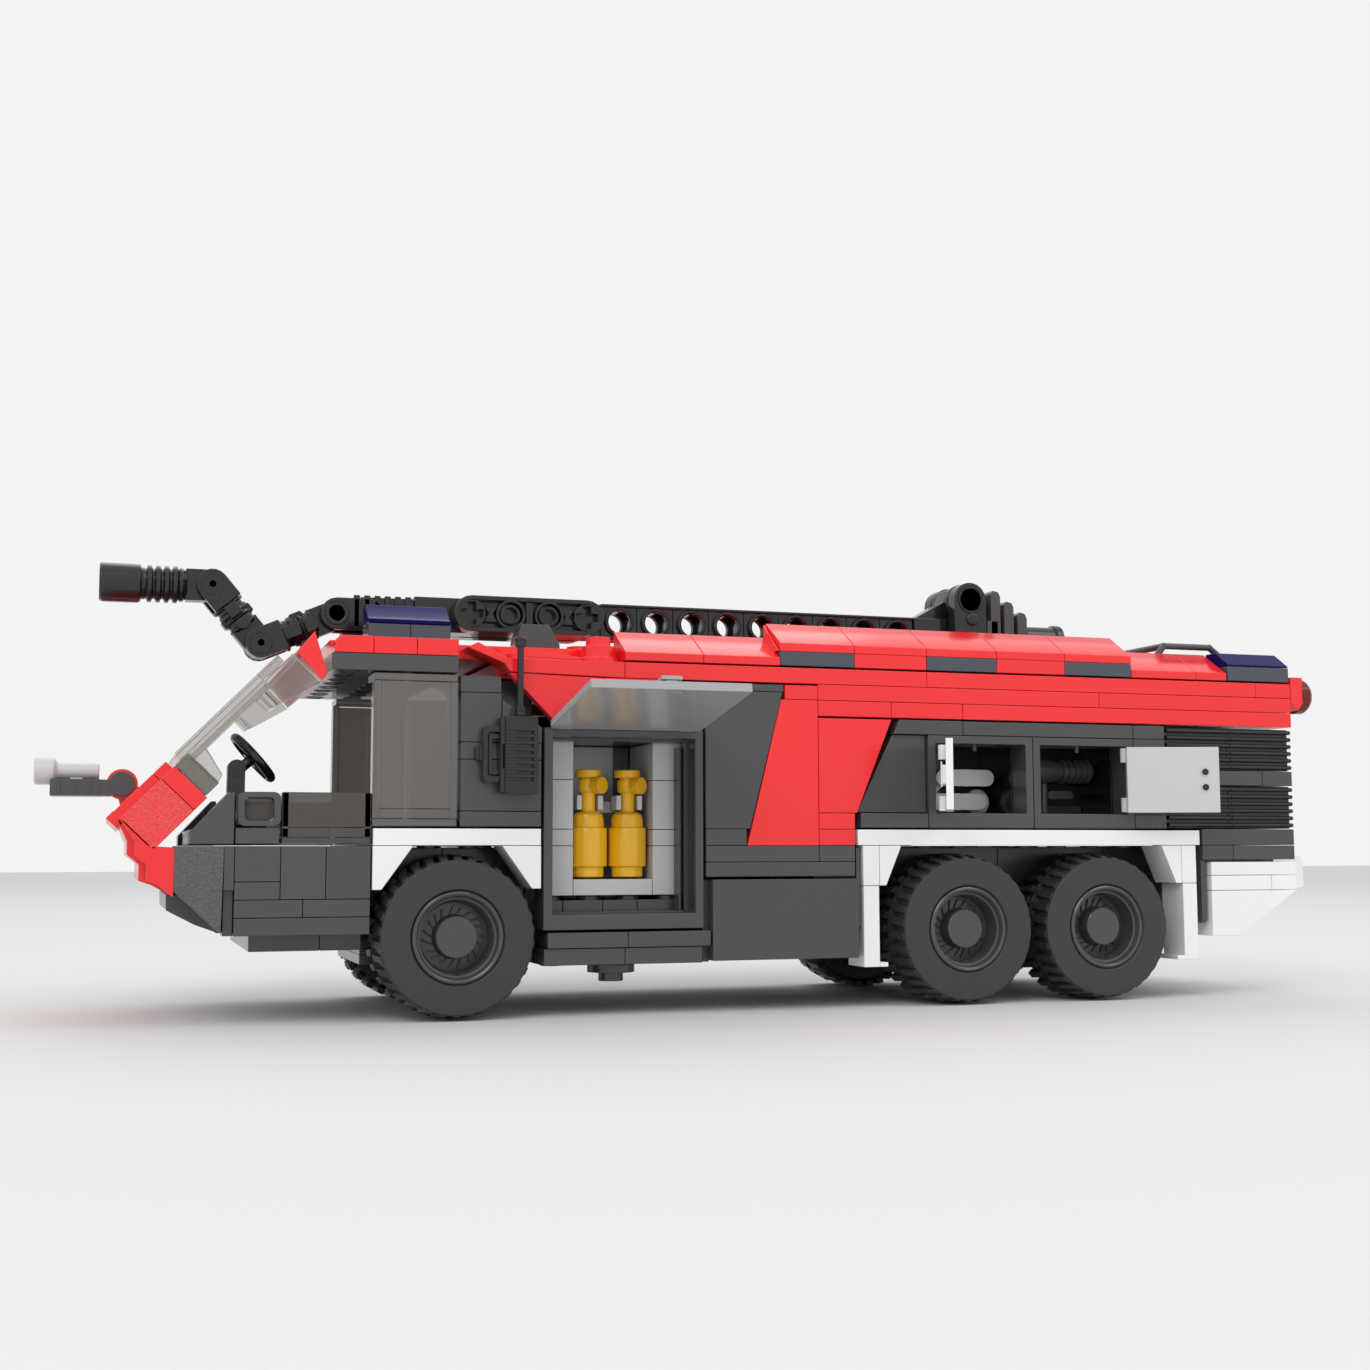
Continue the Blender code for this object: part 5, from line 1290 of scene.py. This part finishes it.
def backGrille(shape, y, z, ribs):
    pitch = (z[1] - z[0]) / ribs
    end = tailLook["end"]
    block(shape, (end - 8, end - 1.3), y, z)
    for i in range(ribs):
        middle = z[0] + pitch * (i + 0.5)
        half = pitch * 0.30
        prism(shape, [(end - 1.4, middle - half), (end - 0.35, middle - half), (end, middle - half * 0.4),
                      (end, middle + half * 0.4), (end - 0.35, middle + half), (end - 1.4, middle + half)], y)


def buildTail():
    look = tailLook
    dark = newShape()
    bars = newShape()
    x0, x1 = look["start"], look["end"]
    for side in sides:
        for x in ((x0, 184), (184, x1)):
            grille(bars, x, side, (lv(5) + 0.05, lv(8) - 0.4), look["ribs"])
            grille(bars, x, side, (lv(1) + 0.35, lv(4) - 0.05), look["ribs"])
        y = span(side, inner, halfWidth)
        blocks(dark, [x0, 192, x1], y, (lv(4), lv(5)))
        blocks(dark, [176.3, x1], y, (lv(0), lv(1) + 0.3))
        blocks(dark, [176.3, 184, x1], y, (lv(-1) + 0.1, lv(0)))
        block(dark, (176.4, 177.7), span(side, 17, halfWidth - 1), (lv(-5), lv(-1)))
        rod(dark, (177.05, side * 24, lv(-5) + 0.1), 0.62, 13.6, "y", 14)
    for y0, y1 in ((-inner, -8), (-8, 8), (8, inner)):
        if y0 != -8:
            backGrille(bars, (y0, y1), (lv(1) + 0.35, lv(4) - 0.05), look["ribs"])
            backGrille(bars, (y0, y1), (lv(5) + 0.05, lv(8) - 0.4), look["ribs"])
        else:
            block(dark, (x1 - 8, x1 - 0.4), (y0, y1), (lv(1) + 0.3, lv(4)))
            block(dark, (x1 - 8, x1 - 0.4), (y0, y1), (lv(5), lv(8) - 0.3))
            for z in (lv(2), lv(3.5), lv(6), lv(7.2)):
                rod(dark, (x1 - 0.6, 0, z), 0.55, 12.6, "y", 12)
        block(dark, (x1 - 8, x1), (y0, y1), (lv(4), lv(5)))
        block(dark, (x1 - 20, x1), (y0, y1), (lv(0), lv(1) + 0.3))
        block(dark, (x1 - 20, x1), (y0, y1), (lv(-1) + 0.1, lv(0)))
    makePiece(dark, "tail_bricks", mats["dark"], "truck", ["rear_body"])
    makePiece(bars, "tail_grilles", mats["black"], "truck", ())

    white = newShape()
    high = lv(-1) - 0.3
    front = 178.3
    for side in sides:
        y = span(side, inner, halfWidth)
        block(white, (front, 200), y, (lv(-2), high))
        blocks(white, [front, 193.5, 200], y, (lv(-3), lv(-2)))
        prism(white, [(front, lv(-3) - seam), (200, lv(-3) - seam), (185.0, lv(-6)), (front, lv(-6))],
              span(side, 17, halfWidth))
    for y0, y1 in ((-inner, -8), (-8, 8), (8, inner)):
        block(white, (front, 200), (y0, y1), (lv(-3), high))
        prism(white, [(200 + seam, lv(-3) + 0.2), (207.7, lv(-3) + 0.2), (207.95, lv(-3) + 0.8),
                      (207.9, 28.6), (207.2, 29.6),
                      (206.0, 29.85), (200 + seam, 29.85)], (y0, y1))
    prism(white, [(front, lv(-3) - seam), (200, lv(-3) - seam), (185.0, lv(-6)), (front, lv(-6))], (-17, 17))
    makePiece(white, "rear_bumper_bricks", mats["white"], "truck", ["rear_bumper"])

    back = newShape()
    lenses = newShape()
    for side in sides:
        y = span(side, inner, halfWidth)
        prism(back, [(200.1, lv(9) + 2.2), (202.0, lv(9) + 0.6), (203.2, lv(9) + 2.2), (203.2, deckZ + 1.5),
                     (200.1, deckZ + 1.5)], y)
        lathe(lenses, (203.2, side * 28, roofZ + 0.8),
              [(0, 0), (3.5, 0), (3.85, 0.3), (3.85, 2.2), (3.3, 3.0), (1.2, 3.35), (0, 3.4)], "x", 32)
    for y in ((-inner, -8), (-8, 8), (8, inner)):
        block(back, (200.3, 203.2), y, (lv(9) + 0.2, deckZ + 1.5))
    makePiece(back, "lamp_blocks", mats["red"], "truck", ["rear_lamps"])
    makePiece(lenses, "tail_lamp_lenses", mats["redClear"], "truck", (), 0.1)


buildUpperBody()
buildRoof()
buildTail()
print("upper body, roof and tail built")


boomLook = {"web": 2.6, "fins": 6, "finStart": -0.2, "finPitch": 2.05,
            "axis": 78.8, "half": 3.7, "broad": 3.9, "lift": (135.0, 86.4), "elbow": (-3.4, 78.2),
            "knee": (-18.0, 71.8),
            "muzzle": (-27.385, 82.984), "holes": (55, 119), "bore": 2.4, "rim": 3.1}


crossLine = [(2.3, 0.85), (0.85, 0.85), (0.85, 2.3), (-0.85, 2.3), (-0.85, 0.85), (-2.3, 0.85),
             (-2.3, -0.85), (-0.85, -0.85), (-0.85, -2.3), (0.85, -2.3), (0.85, -0.85), (2.3, -0.85)]


def buildBeam():
    # the beam is built cell by cell, with a real bore at each stud pitch
    look = boomLook
    web = (-look["web"], look["web"])
    axis, half, broad = look["axis"], look["half"], look["broad"]
    beam = newShape()
    bores = [x for x in range(look["holes"][0], look["holes"][1] + 1, int(stud))]
    cell = stud / 2
    for side in sides:
        for x in bores:
            square = []
            circle = []
            for i in range(24):
                angle = math.pi / 4 + 2 * math.pi * i / 24
                c, s = math.cos(angle), math.sin(angle)
                reach = 1 / max(abs(c), abs(s))
                square.append((x + cell * c * reach, axis + half * s * reach))
                circle.append((x + look["bore"] * c, axis + look["bore"] * s))
            frameOf(beam, square, circle, span(side, 2.5, broad - 0.8))
            lathe(beam, (x, side * (broad - 1.0), axis),
                  [(look["rim"], 0), (look["rim"], 0.85), (look["rim"] - 0.15, 1.0),
                                                          (look["bore"] + 0.1, 1.0), (look["bore"], 0.9),
                                                          (look["bore"], 0)],
                  (0, side, 0), 32, None, True)
        for z in (axis - half, axis + half - 0.65):
            block(beam, (bores[0] - cell, bores[-1] + cell), span(side, broad - 1.0, broad), (z, z + 0.65))
    core = [(bores[0] - cell, axis - half), (bores[-1] + cell, axis - half), (bores[-1] + cell, axis - 2.3),
            (bores[0] - cell, axis - 2.3)]
    prism(beam, core, web)
    prism(beam, [(x, 2 * axis - z) for x, z in core], web)
    for x in bores[:-1]:
        block(beam, (x + 3.0, x + stud - 3.0), web, (axis - 2.4, axis + 2.4))
    block(beam, (123, 134), (-broad, broad), (axis - half, axis + half))
    liftX, liftZ = look["lift"]
    prism(beam, [(123.4, axis + half - 0.2), (134, axis + half - 0.2), (liftX + 4.0, liftZ - 1.0),
                 (liftX + 3.2, liftZ + 2.6), (liftX, liftZ + 4.0),
                 (liftX - 3.0, liftZ + 2.8), (liftX - 4.2, liftZ)], web)
    for side in sides:
        lathe(beam, (liftX, side * look["web"], liftZ),
              [(4.0, 0), (4.0, 1.1), (3.6, 1.3), (2.4, 1.3), (2.4, 0)], (0, side, 0), 32, None, True)
    block(beam, (12, 51), (-broad + 0.6, broad - 0.6), (axis - half + 0.1, axis + half - 0.1))
    for side in sides:
        for i in range(look["fins"]):
            x = look["finStart"] + i * look["finPitch"]
            block(beam, (x, x + 1.35), span(side, 3.2, broad), (axis - half + 0.4, axis + half - 0.4))
    block(beam, (1.2, 12), (-3.3, 3.3), (axis - half + 0.7, axis + half - 0.7))
    elbowX, elbowZ = look["elbow"]
    for side in sides:
        y = span(side, 2.2, broad)
        prism(beam, stadium(elbowX, 3.0, elbowZ, 3.2), y)
        lathe(beam, (elbowX, side * (broad - 0.05), elbowZ),
              [(2.4, 0), (2.4, 0.15), (1.6, 0.15), (1.4, -0.2), (0, -0.2)], (0, side, 0), 24)
    makePiece(beam, "boom_beam", mats["black"], "boom", ["boom"], 0.2)

    arms = newShape()
    pins = newShape()
    low, high = 23.0, 47.0
    for side in sides:
        y = span(side, 3.5, 7.8)
        frameOf(arms, stadium(low, high, axis, half - 0.05, 10), stadium(low, high, axis, half - 0.95, 10), y)
        prism(arms, stadium(low, high, axis, half - 0.9, 10), span(side, 3.6, 5.6))
        for x in (31.0, 39.0):
            lathe(arms, (x, side * 5.5, axis), [(3.1, 0), (3.1, 2.1), (2.95, 2.25), (2.5, 2.25), (2.4, 1.6),
                                                (2.4, 0)], (0, side, 0), 32, None, True)
            lathe(pins, (x, side * 5.5, axis), [(2.1, 0), (2.1, 1.7), (1.8, 1.8), (1.5, 1.8), (1.5, 0.1),
                                                (0, 0.1)], (0, side, 0), 28)
        for x in (low, high):
            circle = [(x + 2.9 * math.cos(math.atan2(b, a)), axis + 2.9 * math.sin(math.atan2(b, a))) for a,
                      b in crossLine]
            frameOf(arms, circle, [(x + a, axis + b) for a, b in crossLine], span(side, 5.5, 7.7))
        for x in (27.0, 43.0):
            prism(arms, [(x - 1.4, axis + 1.6), (x - 0.4, axis), (x - 1.4, axis - 1.6), (x + 1.4, axis - 1.6),
                         (x + 0.4, axis), (x + 1.4, axis + 1.6)],
                  span(side, 5.5, 7.2))
        block(arms, (34.2, 35.8), span(side, 5.5, 7.2), (axis - 2.8, axis + 2.8))
    makePiece(arms, "boom_side_arms", mats["black"], "boom", (), 0.12)
    makePiece(pins, "boom_arm_pins", mats["black"], "boom", (), 0.08)


def along(start, end, amount, across=0.0):
    (x0, z0), (x1, z1) = start, end
    length = math.hypot(x1 - x0, z1 - z0)
    ux, uz = (x1 - x0) / length, (z1 - z0) / length
    return x0 + ux * amount - uz * across, z0 + uz * amount + ux * across


def buildLink(start, end, body, name, nodes, tongue=1.75, cheek=2.2):
    # a jointed bar: a round tongue at the start and a forked knuckle at the end
    look = boomLook
    bar = newShape()
    length = math.hypot(end[0] - start[0], end[1] - start[1])
    half = 3.0

    def outline(low, high, reach, roundLow=True, roundHigh=True, steps=9):
        line = []
        for i in range(steps + 1):
            angle = -math.pi / 2 + math.pi * i / steps
            line.append(along(start, end, high + (reach * math.cos(angle) if roundHigh else 0),
                              reach * math.sin(angle)))
        for i in range(steps + 1):
            angle = math.pi / 2 + math.pi * i / steps
            line.append(along(start, end, low + (reach * math.cos(angle) if roundLow else 0),
                              reach * math.sin(angle)))
        return line

    prism(bar, outline(0, 5.2, half - 0.1, True, False), (-tongue, tongue))
    direction = (end[0] - start[0], 0, end[1] - start[1])

    def ringAt(amount, radius, width):
        x, z = along(start, end, amount)
        lathe(bar, (x, 0, z), [(0, -width / 2), (radius - 0.3, -width / 2), (radius, -width / 2 + 0.3),
                               (radius, width / 2 - 0.3),
                               (radius - 0.3, width / 2), (0, width / 2)], direction, 28)

    span2 = length - 9.2
    ringAt(4.6 + span2 / 2, 2.75, span2 + 0.8)
    for amount, radius, width in ((4.9, 3.15, 0.9), (4.7 + span2 * 0.36, 3.3, 0.8),
                                  (4.7 + span2 * 0.62, 3.1, 1.4), (length - 4.9, 3.4, 0.9)):
        ringAt(amount, radius, width)
    for side in sides:
        prism(bar, outline(4.4 + span2 * 0.5, 4.4 + span2, 1.3, False, False),
              span(side, 2.2, look["broad"] - 0.4))
        prism(bar, outline(5.4, 4.6 + span2 * 0.3, 1.5, True, False), span(side, 2.0, 3.3))
        prism(bar, outline(length - 4.7, length, half, False, True), span(side, cheek, look["broad"]))
        x, z = end
        lathe(bar, (x, side * (look["broad"] - 0.1), z),
              [(2.2, 0), (2.2, 0.12), (1.9, 0.12), (1.8, -0.35), (0.9, -0.35), (0.8, 0.05), (0, 0.05)],
              (0, side, 0), 24)
    for way in (-1, 1):
        prism(bar, [along(start, end, 5.6, way * 2.2), along(start, end, 6.2, way * 3.35),
                    along(start, end, 4.8 + span2 * 0.55, way * 3.35),
                    along(start, end, 5.2 + span2 * 0.6, way * 2.2)], (-1.3, 1.3))
    makePiece(bar, name, mats["black"], body, nodes, 0.12)


def buildNozzle():
    look = boomLook
    dark = newShape()
    hingeX, hingeZ = look["muzzle"]
    halfTurn = [math.pi * (-0.5 + i / 10) for i in range(11)]
    prism(dark, [(hingeX + 3.1 * math.cos(a), hingeZ + 3.1 * math.sin(a)) for a in halfTurn]
          + [(hingeX - 5.0, hingeZ + 3.1), (hingeX - 5.0, hingeZ - 3.1)], (-1.8, 1.8))
    z = hingeZ
    profile = [(0, 0), (2.6, 0), (3.3, 0.9), (3.3, 1.4)]
    for i in range(4):
        a = 1.6 + i * 1.6
        profile += [(2.95, a), (3.6, a + 0.3), (3.6, a + 1.0), (2.95, a + 1.3)]
    profile += [(3.1, 8.1), (3.1, 8.5), (3.7, 8.8), (3.75, 16.0), (3.45, 16.3), (2.9, 16.3), (2.8, 11.0),
                (0, 11.0)]
    lathe(dark, (hingeX - 4.7, 0, z), profile, (-1, 0, 0), 40)
    makePiece(dark, "nozzle_barrel", mats["black"], "boom_nozzle", ["boom_nozzle"], 0.08)
    glow = newShape()
    rod(glow, (hingeX - 18.0, 0, z), 2.75, 4.6, (-1, 0, 0), 28)
    for i in range(6):
        angle = -math.pi / 2 + (i - 2.5) * 0.17
        block(glow, (hingeX - 20.4, hingeX - 13.8),
              (3.55 * math.cos(angle) - 0.3, 3.55 * math.cos(angle) + 0.3),
              (z + 3.6 * math.sin(angle) - 0.2, z + 3.6 * math.sin(angle) + 0.1), 0)
    makePiece(glow, "nozzle_red_core", mats["redClear"], "boom_nozzle", (), 0)


def buildBoomBase():
    look = boomLook
    base = newShape()
    liftX, liftZ = look["lift"]
    axis = look["axis"]
    block(base, (131, 151), (-7.8, 7.8), (topZ + 0.3, topZ + 2.3))
    for side in sides:
        y = span(side, 4.25, 7.7)
        outline = [(138.9, topZ + 2.2), (138.9, liftZ)]
        outline += [(liftX + 3.9 * math.cos(a),
                     liftZ + 3.9 * math.sin(a)) for a in [math.pi * i / 14 for i in range(1, 14)]]
        outline += [(131.1, liftZ), (131.1, topZ + 2.2)]
        prism(base, outline, y)
        lathe(base, (liftX, side * 7.65, liftZ), [(3.0, 0), (3.0, 0.2), (2.5, 0.2), (2.4, -0.9), (0, -0.9)],
              (0, side, 0), 32)
        lathe(base, (liftX + 0.4, side * 7.6, liftZ - 4.4), [(1.5, 0), (1.5, 0.35), (1.2, 0.5), (0, 0.5)],
              (0, side, 0), 22)
        block(base, (132.2, 137.8), span(side, 7.6, 8.05), (topZ + 2.6, topZ + 6.6))
    makePiece(base, "boom_mount", mats["black"], "truck", ["boom_base"], 0.2)
    stub = newShape()
    lathe(stub, (139.2, 0, axis), [(0, 0), (3.2, 0), (3.2, 2.6), (3.7, 3.0), (3.7, 5.2), (3.2, 5.5),
                                   (3.2, 6.2), (3.7, 6.5), (3.7, 8.6), (3.2, 8.9),
                                  (3.2, 9.6), (3.7, 9.9), (3.7, 12.2), (3.2, 12.6), (3.2, 19.8), (3.7, 20.2),
                                  (3.7, 21.8), (2.7, 21.8), (2.5, 18.0), (0, 18.0)],
          "x", 36)
    block(stub, (139.6, 150.4), (-3.4, 3.4), (topZ + 2.2, axis))
    makePiece(stub, "boom_counterweight", mats["black"], "truck", (), 0.1)
    ribs = newShape()
    for i in range(3):
        top = 88.5 - i * 2.3
        x = 140.2 + i * 3.3
        for side in sides:
            prism(ribs, [(x, axis), (x + 2.4, axis), (x + 2.4, top - 1.0), (x + 1.9, top),
                         (x + 0.6, top + 0.3), (x, top - 0.4)], span(side, 0.3, 7.4))
    block(ribs, (139.2, 142.0), (-7.4, 7.4), (axis, 82.0))
    makePiece(ribs, "boom_mount_ribs", mats["dark"], "truck", (), 0.12)


def buildTurret():
    bar = newShape()
    px, pz = turretPivot
    for side in sides:
        y = span(side, 2.2, 3.9)
        prism(bar, [(px + 2.35 * math.cos(a), pz + 2.35 * math.sin(a)) for a in
              [math.pi * 2 * i / 24 for i in range(24)]], y)
        block(bar, (px - 8.0, px - 1.0), span(side, 2.2, 3.8), (41.6, 44.7))
    block(bar, (-56.1, -47.0), (-3.9, 3.9), (41.5, 44.75))
    for x in (-54.4, -51.6, -48.8):
        block(bar, (x - 0.3, x + 0.3), (-4.05, 4.05), (41.9, 44.4))
    makePiece(bar, "turret_arm", mats["dark"], "bumper_turret", ["bumper_turret"], 0.1)
    barrel = newShape()
    lathe(barrel, (-47.3, 0, 46.3), [(0, 0), (1.4, 0), (1.6, 0.2), (1.6, 7.4), (2.0, 7.8), (2.6, 8.2),
                                     (2.6, 11.4), (2.3, 11.7), (1.5, 11.7), (1.4, 9.4), (0, 9.4)],
          (-1, 0, 0), 32)
    block(barrel, (-52.6, -50.2), (-1.1, 1.1), (44.6, 45.6))
    makePiece(barrel, "turret_barrel", mats["lightGrey"], "bumper_turret", (), 0.08)


buildBeam()
buildLink(boomLook["elbow"], boomLook["knee"], "boom_elbow", "boom_elbow_bar", ["boom_elbow"])
buildLink(boomLook["knee"], boomLook["muzzle"], "boom_neck", "boom_neck_bar", ["boom_neck"])
buildNozzle()
buildBoomBase()
buildTurret()
print("boom and turret built")


stageLook = {"floor": (0.68, 0.68, 0.68), "floorHalf": 3.0, "floorRoughness": 0.85, "ambient": 0.9,
             "aim": (0, 0, 0.04), "spot": (-0.12, -0.351285, 0.030396), "yaw": 18.3198, "pitch": 5.5413,
             "roll": -0.1225, "lens": 45.746,
             "lamps": ((-0.45, -0.7, 0.7, 2.6, 0.5), (0.5, -0.5, 0.85, 1.6, 0.5), (0.1, 0.6, 0.9, 1.6, 0.7))}


def buildStage():
    look = stageLook
    size = look["floorHalf"]
    mesh = bpy.data.meshes.new("studio_floor")
    mesh.from_pydata([(-size, -size, 0), (size, -size, 0), (size, size, 0), (-size, size, 0)], [],
                     [(0, 1, 2, 3)])
    floor = bpy.data.objects.new("studio_floor", mesh)
    material, _, shader = newMaterial("studioFloor")
    shader.inputs["Base Color"].default_value = (*look["floor"], 1)
    shader.inputs["Roughness"].default_value = look["floorRoughness"]
    mesh.materials.append(material)
    bpy.context.scene.collection.objects.link(floor)
    world = bpy.data.worlds.new("studio")
    world.use_nodes = True
    background = world.node_tree.nodes["Background"]
    background.inputs["Color"].default_value = (1, 1, 1, 1)
    background.inputs["Strength"].default_value = look["ambient"]
    bpy.context.scene.view_settings.view_transform = "Standard"
    bpy.context.scene.world = world
    for i, (x, y, z, power, width) in enumerate(look["lamps"]):
        light = bpy.data.lights.new("softbox_%d" % i, "AREA")
        light.energy = power
        light.size = width
        lamp = bpy.data.objects.new("softbox_%d" % i, light)
        lamp.location = (x, y, z)
        lamp.rotation_euler = (Vector(look["aim"]) - Vector((x, y, z))).to_track_quat("-Z", "Y").to_euler()
        bpy.context.scene.collection.objects.link(lamp)


def buildCamera():
    look = stageLook
    lens = bpy.data.cameras.new("camera")
    lens.lens = look["lens"]
    lens.sensor_width = 36
    lens.clip_start = 0.01
    camera = bpy.data.objects.new("camera", lens)
    yaw, pitch = math.radians(look["yaw"]), math.radians(look["pitch"])
    facing = Vector((math.sin(yaw) * math.cos(pitch), math.cos(yaw) * math.cos(pitch), math.sin(pitch)))
    roll = Matrix.Rotation(math.radians(look["roll"]), 3, "Z")
    camera.rotation_euler = (facing.to_track_quat("-Z", "Y").to_matrix() @ roll).to_euler()
    camera.location = look["spot"]
    bpy.context.scene.collection.objects.link(camera)
    bpy.context.scene.camera = camera


buildStage()
buildCamera()
print("stage set")
